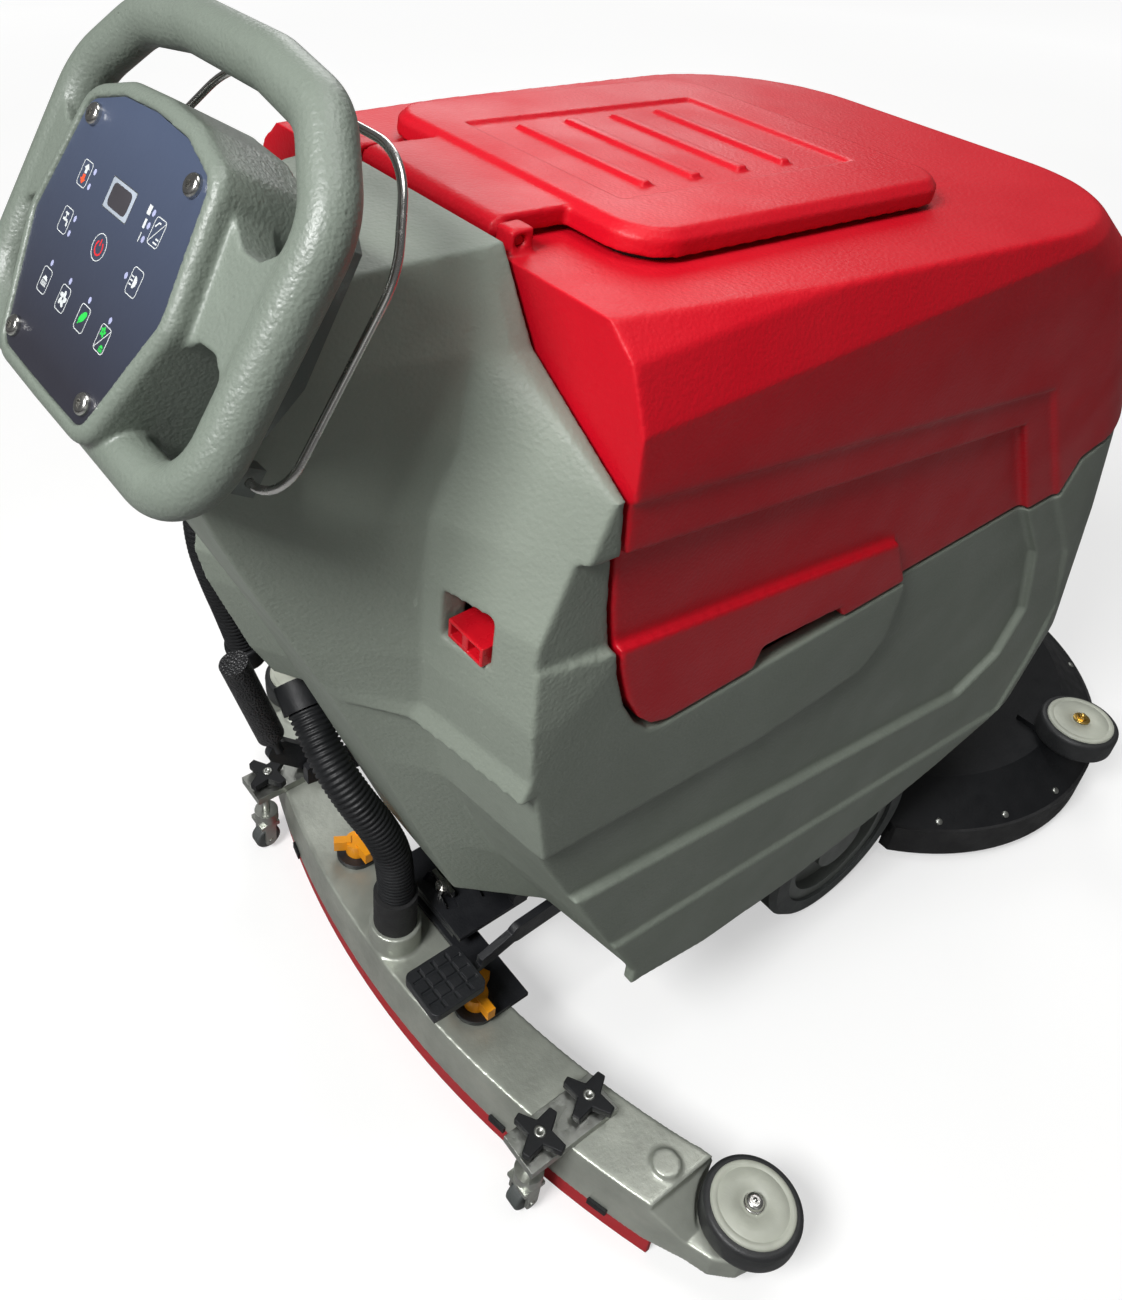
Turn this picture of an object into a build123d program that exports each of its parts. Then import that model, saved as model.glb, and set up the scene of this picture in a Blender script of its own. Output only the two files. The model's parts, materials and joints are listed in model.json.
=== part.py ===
from build123d import *
import os
from math import asin, atan2, cos, degrees, hypot, radians, sin, sqrt, tan

# Walk-behind floor scrubber in millimetres: +X forward, +Y left, +Z up, floor at z = 0.
# The origin is on the floor, at the middle of the machine's length and width.

# General
WALL = 6.0                  # rotomoulded wall
SEAM = 3.0                  # visible gap between tank mouldings
RUN = 0.05                  # radial running clearance of pins and shafts
GAP = 0.3                   # clearance between curved or turning neighbours

# Body mouldings
BODY_HALF = 217.0           # half width of both tanks
SEAM_Z = 565.0              # rim of the lower body
LIP_Z = 606.0               # raised front lip of the lower body
FLOOR_Z = 240.0             # inside floor of the lower body
NOSE_CORNER = 130.0         # plan radius of the front corners
STEP = 4.0                  # first step of the side relief
RECESS = 12.0               # depth of the C-shaped channel in the sides
TANK_REAR = -402.0          # rear wall of the recovery tank
TOP_Z = 890.0               # recovery tank top at the lid's hinge end
TOP_SLOPE = 5.7             # the top falls towards the front, degrees
HINGE_TANK_Y = BODY_HALF + 14.0   # tilt axis outside the left wall
HINGE_TANK_X = (-300.0, 60.0)
HINGE_TANK_R = 5.0

# Lid
LID_REAR_X = -340.0
LID_LENGTH = 312.0
LID_HALF = 138.0
LID_THICK = 17.0
TONGUE_LENGTH = 52.0
TONGUE_HALF = 70.0
LID_PIN_R = 4.0
RIB_PITCH = 46.0
RIB_HALF = 64.0

# Handle: local x to the right, y up the slope, z out towards the operator
PANEL_X = -611.4
PANEL_Z = 920.0
PANEL_TILT = 56.7           # slope of the panel above the horizontal
RING_HALF = 139.0           # ring centre line, half width
RING_TOP = 127.0
RING_BOTTOM = -86.0
RING_R = 15.5
RING_OFF = -25.0            # ring plane behind the panel
POD_RIM = 10.0              # wall around the panel
POD_ROUND = 13.0            # corners of the panel
POD_BOTTOM = -97.0
POD_DEPTH = 60.0
RIM = 2.0                   # pod rim stands proud of the panel
PANEL_THICK = 3.0
WINDOW_Y = 28.5             # middle of the display window
WINDOW_SIZE = (30.0, 18.0)
COVER_THICK = 12.0
SCREW_HEAD_R = 6.5
BAIL_R = 2.7
BAIL_HALF = 129.0
BAIL_TOP = 120.0
BAIL_PIVOT_Y = -74.0
BAIL_OFF = -84.0
BAIL_EAR = 92.0

# Running gear
AXLE_X = 61.0
WHEEL_R = 108.0
WHEEL_RIM_R = 83.0
WHEEL_WIDTH = 60.0
WHEEL_GAP = 7.0             # clearance between a drive wheel and the deck
WHEEL_OUT = BODY_HALF - 26.0   # outer face of a drive wheel
AXLE_R = 12.0
CASTER_X = -118.0
CASTER_Y = 84.0
CASTER_R = 50.0
CASTER_TRAIL = 28.0
FRAME_LOW = 204.0
RAIL_Y = WHEEL_OUT - 86.0
RAIL_WIDTH = 30.0

# Brush deck
DECK_R = 278.0
DECK_X = 102.0 + DECK_R      # keeps its rear edge clear of the transaxle
DECK_LOW = 42.0
DECK_TOP = 92.0
DECK_EDGE = 56.0            # foot of the sloping edge
DECK_SLOPE = 50.0
SKIRT_R = DECK_R + 3.5
SKIRT_LOW = 14.0
BRUSH_R = DECK_R - 16.0
BRISTLE_LENGTH = 45.0
DECK_PIVOT_X = 137.0
DECK_PIVOT_Z = 186.0
DECK_ARM_Y = 74.0
ROLLER_R = 44.0
ROLLER_DISC_R = 36.0
ROLLER_HEIGHT = 32.0
DECK_ROLLER_X = DECK_X + 55.0
DECK_ROLLER_Y = 33.0 - DECK_R
DECK_ROLLER_TOP = 132.0

# Squeegee
SQ_REAR = -440.0            # rear rim at the centre line
SQ_RADIUS = 940.0
SQ_CENTRE = SQ_REAR + SQ_RADIUS
SQ_DEPTH = 70.0
SQ_TOP = 100.0
SQ_LOW = 33.0
SQ_HALF = 342.0             # half length of the curved body
SQ_WALL = 5.0
BLADE = 4.0
END_Y = SQ_HALF + 48.0      # end rollers
END_X = round(SQ_CENTRE - sqrt(SQ_RADIUS ** 2 - END_Y ** 2) + 56)
END_TOP = 97.0
PAD_TOP = END_TOP - ROLLER_HEIGHT - GAP
KNOB_X = -390.0
KNOB_Y = 108.0
SLOT_RADII = (60.0, 100.0)  # arc slots about the spigot, on which the squeegee swings
STUD_R = 5.0
SWING_LIMIT = 12.0
PLATE_REAR = -372.0         # arc plate
PLATE_FRONT = -284.0
ARM_Z = 126.0               # underside of the arc plate
PLATE = 6.0
LIFT_X = -268.0
LIFT_Z = 186.0
LIFT_ARM_Y = 53.0
SUPPORT_X = -430.0
SUPPORT_Y = 246.0
SUPPORT_R = 16.0
SUPPORT_TRAIL = 3.0
STAR_FRONT_X = -366.0
STAR_REAR_X = SUPPORT_X + 6.0
STAR_R = 25.0
WING_R = 25.0
SPIGOT_X = -412.0
HOSE_R = 19.0

# Levers
PEDAL_Y = -105.0
PEDAL_PAD_X = -427.0
PEDAL_PAD_Z = 172.0
LEVER_X = -420.0
LEVER_Z = 250.0
LEVER_Y = 140.0
GRIP_R = 14.0

# Free vacuum hose, from the squeegee spigot up to the body inlet
HOSE_POINTS = [
    (-412, 0, 178), (-412, 0, 228), (-425, 7, 276),
    (-444, 26, 318), (-453, 58, 352), (-450, 95, 380),
]
INLET_CUP = 28.0            # elbow that takes the hose's upper end
INLET_R = 12.0
INLET_REACH = 70.0
# Drain hose, clipped along the left rear corner
DRAIN_POINTS = [
    (-447, 186, 668), (-476, 187, 631), (-490, 190, 586), (-491, 193, 536),
    (-481, 197, 484), (-468, 200, 432), (-458, 201, 384),
]
DRAIN_R = 17.0
DRAIN_SOCKET = 50.0         # depth of its socket in the body
DRAIN_GAP = 3.0

HANDLE = Plane(
    origin=(PANEL_X, 0, PANEL_Z),
    x_dir=(0, -1, 0),
    z_dir=(-sin(radians(PANEL_TILT)), 0, cos(radians(PANEL_TILT))),
)
LID = Plane(
    origin=(LID_REAR_X, 0, TOP_Z),
    x_dir=(cos(radians(TOP_SLOPE)), 0, -sin(radians(TOP_SLOPE))),
    z_dir=(sin(radians(TOP_SLOPE)), 0, cos(radians(TOP_SLOPE))),
)


def block(x0, x1, y0, y1, z0, z1):
    """Box between two corners."""
    centre = Pos((x0 + x1) / 2, (y0 + y1) / 2, (z0 + z1) / 2)
    return centre * Box(abs(x1 - x0), abs(y1 - y0), abs(z1 - z0))


def post(x, y, z0, z1, r):
    """Upright cylinder."""
    return Pos(x, y, (z0 + z1) / 2) * Cylinder(r, z1 - z0)


def bar(x, z, y0, y1, r):
    """Cylinder along Y."""
    return Pos(x, (y0 + y1) / 2, z) * Rot(90, 0, 0) * Cylinder(r, abs(y1 - y0))


def prism(points, z0, z1):
    """Polygon in plan, pulled up from z0 to z1."""
    return Pos(0, 0, z0) * extrude(make_face(Polyline(*points, close=True)), z1 - z0)


def side_prism(points, y0, y1):
    """Polygon of (x, z) points, pulled from y0 to y1."""
    face = make_face(Polyline(*[(x, 0, z) for x, z in points], close=True))
    return Pos(0, y0, 0) * extrude(face, y1 - y0, dir=(0, 1, 0))


def link(p, q, y0, y1, width):
    """Flat bar with round ends between two (x, z) points."""
    length = hypot(q[0] - p[0], q[1] - p[1])
    angle = degrees(atan2(q[1] - p[1], q[0] - p[0]))
    centre = Pos((p[0] + q[0]) / 2, (y0 + y1) / 2, (p[1] + q[1]) / 2)
    plate = centre * Rot(0, -angle, 0) * Box(length, abs(y1 - y0), width)
    return plate + bar(*p, y0, y1, width / 2) + bar(*q, y0, y1, width / 2)


def both_sides(shape):
    """The shape and its mirror image across the centre plane."""
    return shape + mirror(shape, Plane.XZ)


def front_section(z, rear, nose, half, corner=NOSE_CORNER):
    """Plan section with a square rear and rounded front corners."""
    start = nose - corner
    near = corner * cos(radians(45))
    edges = [
        Line((start, half), (rear, half)),
        Line((rear, half), (rear, -half)),
        Line((rear, -half), (start, -half)),
        ThreePointArc((start, -half), (start + near, -half + corner - near), (nose, -half + corner)),
        Line((nose, -half + corner), (nose, half - corner)),
        ThreePointArc((nose, half - corner), (start + near, half - corner + near), (start, half)),
    ]
    return Pos(0, 0, z) * make_face(Curve() + edges)


def rear_section(z, front, corner, hollow, spine, inset=0.0):
    """Plan section of the rear: front edge, side corner, hollow flank and spine."""
    right = [
        (front[0] - inset, -front[1] + inset),
        (min(corner[0] + inset, front[0] - inset - 1), -corner[1] + inset),
        (hollow[0] + inset, -hollow[1] + inset),
        (spine[0] + inset, -spine[1] + inset),
    ]
    left = [(x, -y) for x, y in reversed(right)]
    return Pos(0, 0, z) * make_face(Polyline(*right, *left, close=True))


# Plan stations of the mouldings, from the floor up
TUB_STATIONS = [(170, 352), (330, 398), (503, 358), (LIP_Z, 326)]
REAR_LOW = [
    (203, (-250, BODY_HALF), (-289, BODY_HALF), (-305, 120), (-375, 60)),
    (350, (-250, BODY_HALF), (-365, BODY_HALF), (-386, 115), (-430, 60)),
    (484, (-250, BODY_HALF), (-431, BODY_HALF), (-444, 110), (-480, 60)),
    (SEAM_Z, (-250, BODY_HALF), (-447, BODY_HALF - 4), (-462, 110), (-512, 60)),
]
COLUMN_FRONT = -326.0       # before the recovery tank's space is taken out of it
REAR_HIGH = [
    (SEAM_Z, (COLUMN_FRONT, BODY_HALF), (-460, BODY_HALF - 4), (-477, 106), (-512, 60)),
    (584, (COLUMN_FRONT, BODY_HALF), (-453, BODY_HALF - 4), (-470, 112), (-520, 60)),
    (630, (COLUMN_FRONT, BODY_HALF), (-456, BODY_HALF - 5), (-473, 116), (-540, 60)),
    (700, (COLUMN_FRONT, BODY_HALF), (-452, BODY_HALF - 11), (-474, 116), (-570, 61)),
    (750, (COLUMN_FRONT, BODY_HALF), (-430, BODY_HALF - 4), (-470, 116), (-590, 63)),
    (798, (COLUMN_FRONT, BODY_HALF - 3), (-412, BODY_HALF - 3), (-452, 119), (-605, 65)),
    (855, (COLUMN_FRONT, 126), (-420, 124), (-441, 112), (-605, 68)),
    (908, (COLUMN_FRONT, 92), (-418, 92), (-430, 90), (-590, 70)),
]
# Rear edge of the recovery tank, from its top down to the rounded bottom corner
SEAM_CURVE = [
    (TANK_REAR, 950), (TANK_REAR, 801), (-393, 705), (-383, 650), (-371, 614),
    (-356, 588), (-342, 574), (COLUMN_FRONT, SEAM_Z + SEAM),
]


def behind_seam(shift):
    """Space behind the recovery tank's rear edge, moved forward by a wall."""
    edge = [(x + shift, z + shift) for x, z in SEAM_CURVE]
    return side_prism(edge + [(edge[-1][0], 500), (-700, 500), (-700, edge[0][1])], -300, 300)


def ahead_of_seam(shift):
    """Space of the recovery tank, with a gap all along its rear edge."""
    edge = [(x - shift, z - shift) for x, z in SEAM_CURVE]
    return side_prism(edge + [(0, edge[-1][1]), (0, edge[0][1])], -300, 300)


def side_relief():
    """Stepped relief pressed into both sides, shared by the two mouldings."""
    deep = [(-520, 766), (-437, 758), (-395, 753), (51, 682), (118, 571), (180, 490), (214, 400),
            (196, 345), (140, 318), (-394, 398), (-520, 415), (-520, 494), (-435, 484), (-204, 467),
            (-76, 474), (-52, 500), (-49, 558), (-83, 621), (-374, 667), (-520, 690)]
    shallow = [(-520, 815), (-393, 793), (68, 712), (165, 562), (238, 470), (282, 375), (270, 300),
               (250, 233), (-329, 292), (-520, 318)]
    cut = side_prism(deep, -BODY_HALF - 5, -BODY_HALF + RECESS)
    cut += side_prism(shallow, -BODY_HALF - 5, -BODY_HALF + STEP)
    return both_sides(cut)


def below_bottom_edge():
    """Everything under the curved lower edge of the body."""
    low = [(-700, 0), (-700, 203), (-289, 203), (-206, 186), (-78, 182), (40, 190)]
    return side_prism(low + [(148, 207), (271, 236), (500, 262), (500, 0)], -300, 300)


def solution_tank():
    shell = loft([front_section(z, -300, nose, BODY_HALF) for z, nose in TUB_STATIONS], ruled=True)
    shell += loft([rear_section(*s) for s in REAR_LOW], ruled=True)
    shell -= below_bottom_edge()
    # the rim drops behind the front lip, where the recovery tank sits
    rim = [(-330, SEAM_Z), (166, SEAM_Z), (180, LIP_Z - 4), (205, LIP_Z + 1), (-330, LIP_Z + 1)]
    shell -= side_prism(rim, -300, 300)
    column = loft([rear_section(*s) for s in REAR_HIGH], ruled=True)
    shell += column - ahead_of_seam(SEAM) + hose_fairing()
    # the column stops at the handle's back cover
    shell -= HANDLE * Pos(0, 0, 150 - POD_DEPTH - COVER_THICK) * Box(600, 700, 300)
    inside = loft(
        [front_section(z, -290, nose - 2 * WALL, BODY_HALF - WALL - RECESS, NOSE_CORNER - WALL)
         for z, nose in [(FLOOR_Z, 372), (330, 398), (503, 358), (LIP_Z + 2, 325)]],
        ruled=True,
    )
    low = [(FLOOR_Z, (-250, BODY_HALF), (-306, BODY_HALF), (-322, 118), (-385, 60))] + REAR_LOW[1:]
    inside += loft([rear_section(*s, inset=WALL + RECESS) for s in low], ruled=True)
    shell -= inside
    hollow = loft([rear_section(*s, inset=WALL + RECESS) for s in REAR_HIGH[:-2]], ruled=True)
    shell -= hollow - ahead_of_seam(SEAM + WALL + RECESS)
    shell -= side_relief()
    # open underside between the side skirts
    under = loft(
        [front_section(z, -600, nose - 2 * WALL, BODY_HALF - 2 * WALL, NOSE_CORNER - WALL)
         for z, nose in [(150, 346), (FLOOR_Z - WALL, 370)]],
        ruled=True,
    )
    shell -= under
    shell -= connector_pocket()
    shell -= inlet_neck(0.2)
    start = Vector(*DRAIN_POINTS[0])
    along = (Vector(*DRAIN_POINTS[1]) - start).normalized()
    shell -= tube_between(start, start + along * DRAIN_SOCKET, DRAIN_R + DRAIN_GAP)
    return shell.solids().sort_by(SortBy.VOLUME)[-1]


def hose_fairing():
    """Moulded ridge on the left flank, over the vacuum hose's inlet."""
    rear = [(-505, 700), (-531, 640), (-537, 606), (-530, 572), (-498, 480), (-476, 436)]
    inner = [(-414, 430), (-414, 720)]
    crest = [(x, 104, z) for x, z in rear + inner]
    foot = [(x + 26, 64, z) for x, z in rear] + [(x, 64, z) for x, z in inner]
    flank = [(x + 54, 160, z) for x, z in rear] + [(x, 160, z) for x, z in inner]
    outlines = [make_face(Polyline(*points, close=True)) for points in (foot, crest, flank)]
    return loft(outlines[:2], ruled=True) + loft(outlines[1:], ruled=True)


CONNECTOR = (-470, -151, 672)
CONNECTOR_SIZE = (36.0, 16.0)
POCKET = 2.0                # room around the connector
POCKET_HIGH = 20.0          # free height above it


def connector_pocket():
    x, y, z = CONNECTOR
    wide, high = CONNECTOR_SIZE
    half = wide / 2 + POCKET
    tall = high / 2 + POCKET
    return block(x - 30, x + 40, y - half, y + half, z - tall, z + tall + POCKET_HIGH)


def charge_connector():
    x, y, z = CONNECTOR
    wide, high = CONNECTOR_SIZE
    z -= POCKET
    body = block(x + 4, x + 38, y - wide / 2, y + wide / 2, z - high / 2, z + high / 2)
    for side in (-1, 1):
        body -= block(x + 3, x + 16, y + side * wide / 4 - 6, y + side * wide / 4 + 6, z - 5, z + 5)
    return body.solid()


TANK_STATIONS = [
    (SEAM_Z + SEAM, BODY_HALF, 326), (620, BODY_HALF, 322), (733, BODY_HALF, 262),
    (805, BODY_HALF, 200), (840, BODY_HALF - 1, 152), (878, BODY_HALF - 16, 92), (900, BODY_HALF - 41, 40),
]
TANK_INSIDE = [
    (SEAM_Z + SEAM + WALL, BODY_HALF, 150), (620, BODY_HALF, 300), (733, BODY_HALF, 262),
    (805, BODY_HALF, 200), (840, BODY_HALF - 3, 150), (872, BODY_HALF - 19, 86),
]


def recovery_tank():
    sections = [front_section(z, TANK_REAR, nose, half, 125) for z, half, nose in TANK_STATIONS]
    shell = loft(sections, ruled=True) - behind_seam(0)
    shell -= LID * Pos(200, 0, 100) * Box(1200, 600, 200)
    # clear of the grey rim and its front lip
    lip = [(164 - SEAM, 500), (164 - SEAM, SEAM_Z + SEAM), (178 - SEAM, LIP_Z - 4 + SEAM),
           (203, LIP_Z + 1 + SEAM), (500, LIP_Z + 1 + SEAM), (500, 500)]
    shell -= side_prism(lip, -300, 300)
    inside = loft(
        [front_section(z, TANK_REAR + WALL, nose - 2 * WALL, half - WALL - RECESS, 113)
         for z, half, nose in TANK_INSIDE],
        ruled=True,
    )
    inside -= LID * Pos(200, 0, 100 - WALL) * Box(1200, 600, 200)
    inside -= block(-250, -108, -BODY_HALF, -BODY_HALF + 46, SEAM_Z, 597)
    inside -= behind_seam(WALL)
    shell -= inside
    shell -= LID * Pos(LID_LENGTH / 2, 0, 0) * Box(LID_LENGTH - 60, 2 * LID_HALF - 60, 60)
    shell -= side_relief()
    # hand grip under the right side
    shell -= side_prism([(-242, 540), (-230, 588), (-140, 581), (-113, 540)], -240, -BODY_HALF + 40)
    # ears beside the lid's tongue
    ear_x = -TONGUE_LENGTH
    for side in (-1, 1):
        y = side * (TONGUE_HALF + 12)
        ear = Pos(ear_x + 1, y, 7.5) * Box(18, 16, 17)
        ear -= Pos(ear_x, y, LID_THICK / 2) * Rot(90, 0, 0) * Cylinder(LID_PIN_R + RUN, 30)
        shell += LID * ear
    # hinge knuckles low on the left wall
    z = SEAM_Z + SEAM + 7
    for x in HINGE_TANK_X:
        knuckle = Pos(x, HINGE_TANK_Y, z) * Rot(0, 90, 0) * Cylinder(10, 40)
        knuckle += block(x - 20, x + 20, BODY_HALF - RECESS - 2, HINGE_TANK_Y, z - 7, z + 10)
        knuckle -= Pos(x, HINGE_TANK_Y, z) * Rot(0, 90, 0) * Cylinder(HINGE_TANK_R + RUN, 60)
        shell += knuckle
    return shell.solids().sort_by(SortBy.VOLUME)[-1]


def tank_hinges():
    """Two plates on the lower body, each with the pin its knuckle turns on."""
    pieces = []
    z = SEAM_Z + SEAM + 7
    for x in HINGE_TANK_X:
        base = BODY_HALF - (RECESS if x > 0 else STEP)
        hinge = block(x - 34, x + 34, base, BODY_HALF + 4, SEAM_Z - 60, SEAM_Z - 6)
        for end in (-1, 1):
            hinge += block(x + end * 21, x + end * 30, BODY_HALF + 3, HINGE_TANK_Y + 9, SEAM_Z - 60, z)
            hinge += Pos(x + end * 25.5, HINGE_TANK_Y, z) * Rot(0, 90, 0) * Cylinder(9, 9)
        hinge += Pos(x, HINGE_TANK_Y, z) * Rot(0, 90, 0) * Cylinder(HINGE_TANK_R, 60)
        pieces.append(hinge.solid())
    return Compound(children=pieces)


def lid_outline(margin, z0, z1):
    """Lid plate with rounded corners, in the lid's own plane."""
    size = (LID_LENGTH - 2 * margin, 2 * (LID_HALF - margin), z1 - z0)
    plate = Pos(LID_LENGTH / 2, 0, (z0 + z1) / 2) * Box(*size)
    return fillet(plate.edges().filter_by(Axis.Z), 34 - margin)


def recovery_lid():
    lid = lid_outline(0, 4, LID_THICK + 4)
    lid = chamfer(lid.faces().sort_by(Axis.Z)[-1].edges(), 6)
    middle = LID_THICK / 2
    width = 2 * TONGUE_HALF
    tongue = Pos(-TONGUE_LENGTH / 2 + 5, 0, middle + 2) * Box(TONGUE_LENGTH + 10, width, LID_THICK - 4)
    tongue += Pos(-TONGUE_LENGTH, 0, middle) * Rot(90, 0, 0) * Cylinder(middle - 0.6, width)
    lid += tongue
    lid += Pos(-TONGUE_LENGTH, 0, LID_THICK / 2) * Rot(90, 0, 0) * Cylinder(LID_PIN_R, 2 * TONGUE_HALF + 36)
    # shallow tray with four cross ribs
    tray_x = 34
    tray_length = 229
    lid -= Pos(tray_x + tray_length / 2, 0, LID_THICK + 4) * Box(tray_length, 162, 6)
    for i in range(4):
        x = tray_x + 39 + i * RIB_PITCH
        lid += Pos(x, 0, LID_THICK + 2) * Box(9, 2 * RIB_HALF, 5)
    return (LID * lid).solid()


def lid_gasket():
    ring = lid_outline(8, 0.3, 4) - lid_outline(18, 0, 5)
    return (LID * ring).solid()


def float_cage():
    """Shut-off float: a slotted cage with a ball, on the tank's rear wall."""
    x = TANK_REAR + WALL + 46
    cage = post(x, 0, 720, 850, 30) - post(x, 0, 726, 846, 26)
    for z in (740, 770, 800):
        cage -= block(x - 40, x + 40, -8, 8, z, z + 18)
        cage -= block(x - 8, x + 40, -40, 40, z, z + 18)
    arm = block(TANK_REAR + WALL, x - 20, -14, 14, 826, 846)
    return (cage + (arm - post(x, 0, 700, 860, 29))).solid()


def pod_face(grow=0.0):
    """Outline of the panel, moved outwards: arched top, bend at the sides, narrow foot."""
    half = [(0, -82.5), (57, -82), (84.5, -7), (73, 64), (38, 75.5), (0, 78)]
    points = half + [(-x, y) for x, y in reversed(half[1:-1])]
    grown = []
    for a, b, c in zip(points[-1:] + points, points, points[1:] + points[:1]):
        before = (Vector(*b) - Vector(*a)).normalized()
        after = (Vector(*c) - Vector(*b)).normalized()
        out = Vector(before.Y + after.Y, -before.X - after.X) * (grow / (1 + before.dot(after)))
        grown.append(Vector(*b) + out)
    return make_face(FilletPolyline(*grown, radius=POD_ROUND + grow, close=True))


def handle_shell():
    pod = Pos(0, 0, -POD_DEPTH) * extrude(pod_face(POD_RIM), POD_DEPTH + RIM)
    pod = fillet(pod.faces().sort_by(Axis.Z)[-1].edges(), POD_RIM - 3)
    # ring: arched top, straight sides, lower ends run into the pod's foot
    right = [(RING_HALF, RING_BOTTOM), (RING_HALF, 76), (98, RING_TOP - 9), (42, RING_TOP)]
    left = [(-x, y) for x, y in reversed(right)]
    path = Pos(0, 0, RING_OFF) * FilletPolyline(*right, *left, close=True, radius=44)
    ring = sweep(Plane(origin=path @ 0, z_dir=path % 0) * Circle(RING_R), path=path)
    shell = pod + ring
    near = RING_HALF - 2
    spoke = [(72, 70), (90, 51), (101, 44), (near - 20, 44), (near - 9, 52), (near, 70),
             (near, -28), (near - 9, -12), (near - 20, -5), (101, -6), (92, -14), (80, -36)]
    spoke = Pos(0, 0, RING_OFF - 13) * extrude(make_face(Polyline(*spoke, close=True)), 26)
    shell += spoke + mirror(spoke, Plane.YZ)
    # recess for the panel, cavity behind it
    shell -= Pos(0, 0, -PANEL_THICK) * extrude(pod_face(GAP), 40)
    shell -= Pos(0, 0, -POD_DEPTH - 1) * extrude(pod_face(2), POD_DEPTH - 10)
    shell -= Pos(0, -8, -10) * Box(112, 112, 20)
    for x, y in screw_points():
        shell -= Pos(x, y, -8) * Cylinder(2.5, 20)
    return (HANDLE * shell).solids().sort_by(SortBy.VOLUME)[-1]


def screw_points():
    return [(61, 58), (-61, 58), (51, -70), (-51, -70)]


def control_panel():
    plate = Pos(0, 0, -PANEL_THICK) * extrude(pod_face(), PANEL_THICK)
    for x, y in screw_points():
        plate -= Pos(x, y, 0) * Cylinder(3.3, 20)
    plate -= Pos(0, WINDOW_Y, 0) * Box(*WINDOW_SIZE, 20)
    return (HANDLE * plate).solid()


def panel_screws():
    pieces = []
    for x, y in screw_points():
        screw = Pos(x, y, 2) * Cylinder(SCREW_HEAD_R, 4) + Pos(x, y, -5) * Cylinder(2.5, 10)
        screw = fillet(screw.faces().sort_by(Axis.Z)[-1].edges(), 2.5)
        screw -= extrude(Pos(x, y, 1.6) * RegularPolygon(2.6, 6), 4)
        pieces.append((HANDLE * screw).solid())
    return Compound(children=pieces)


def display_window():
    wide, tall = WINDOW_SIZE
    lens = Pos(0, WINDOW_Y, -PANEL_THICK / 2) * Box(wide - 0.2, tall - 0.2, PANEL_THICK)
    return (HANDLE * lens).solid()


def control_board():
    board = Pos(0, -8, -PANEL_THICK - 1.5 - 4) * Box(104, 104, 2)
    for x in (-46, 46):
        for y in (-52, 36):
            board += Pos(x, y, -PANEL_THICK - 2.25) * Cylinder(3, 4.5)
    wide, tall = WINDOW_SIZE
    board += Pos(0, WINDOW_Y, -PANEL_THICK - 2.25) * Box(wide + 4, tall + 4, 4.5)
    return (HANDLE * board).solid()


def handle_cover():
    """Back plate of the handle, with ears for the wire bail."""
    half = [(96, 78), (112, 66), (BAIL_HALF - 10, -8), (106, -50), (92, POD_BOTTOM)]
    outline = make_face(Polyline(*half, *[(-x, y) for x, y in reversed(half)], close=True))
    plate = Pos(0, 0, -POD_DEPTH - COVER_THICK) * extrude(outline, COVER_THICK)
    for side in (-1, 1):
        ear = Pos(side * BAIL_EAR, BAIL_PIVOT_Y, (BAIL_OFF - 8 - POD_DEPTH - COVER_THICK) / 2) * Box(
            12, 18, abs(BAIL_OFF - 8 + POD_DEPTH + COVER_THICK))
        ear -= Pos(side * BAIL_EAR, BAIL_PIVOT_Y, BAIL_OFF) * Rot(0, 90, 0) * Cylinder(BAIL_R + RUN, 30)
        plate += ear
    return (HANDLE * plate).solid()


def bail_lever():
    """Wire loop behind the ring, pivoted in the cover's ears."""
    end = BAIL_EAR - 8
    path = FilletPolyline(
        (end, BAIL_PIVOT_Y), (BAIL_HALF, BAIL_PIVOT_Y), (BAIL_HALF, 68), (88, BAIL_TOP),
        (-88, BAIL_TOP), (-BAIL_HALF, 68), (-BAIL_HALF, BAIL_PIVOT_Y), (-end, BAIL_PIVOT_Y), radius=22,
    )
    path = Pos(0, 0, BAIL_OFF) * path
    rod = sweep(Plane(origin=path @ 0, z_dir=path % 0) * Circle(BAIL_R), path=path)
    return (HANDLE * rod).solid()


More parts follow.
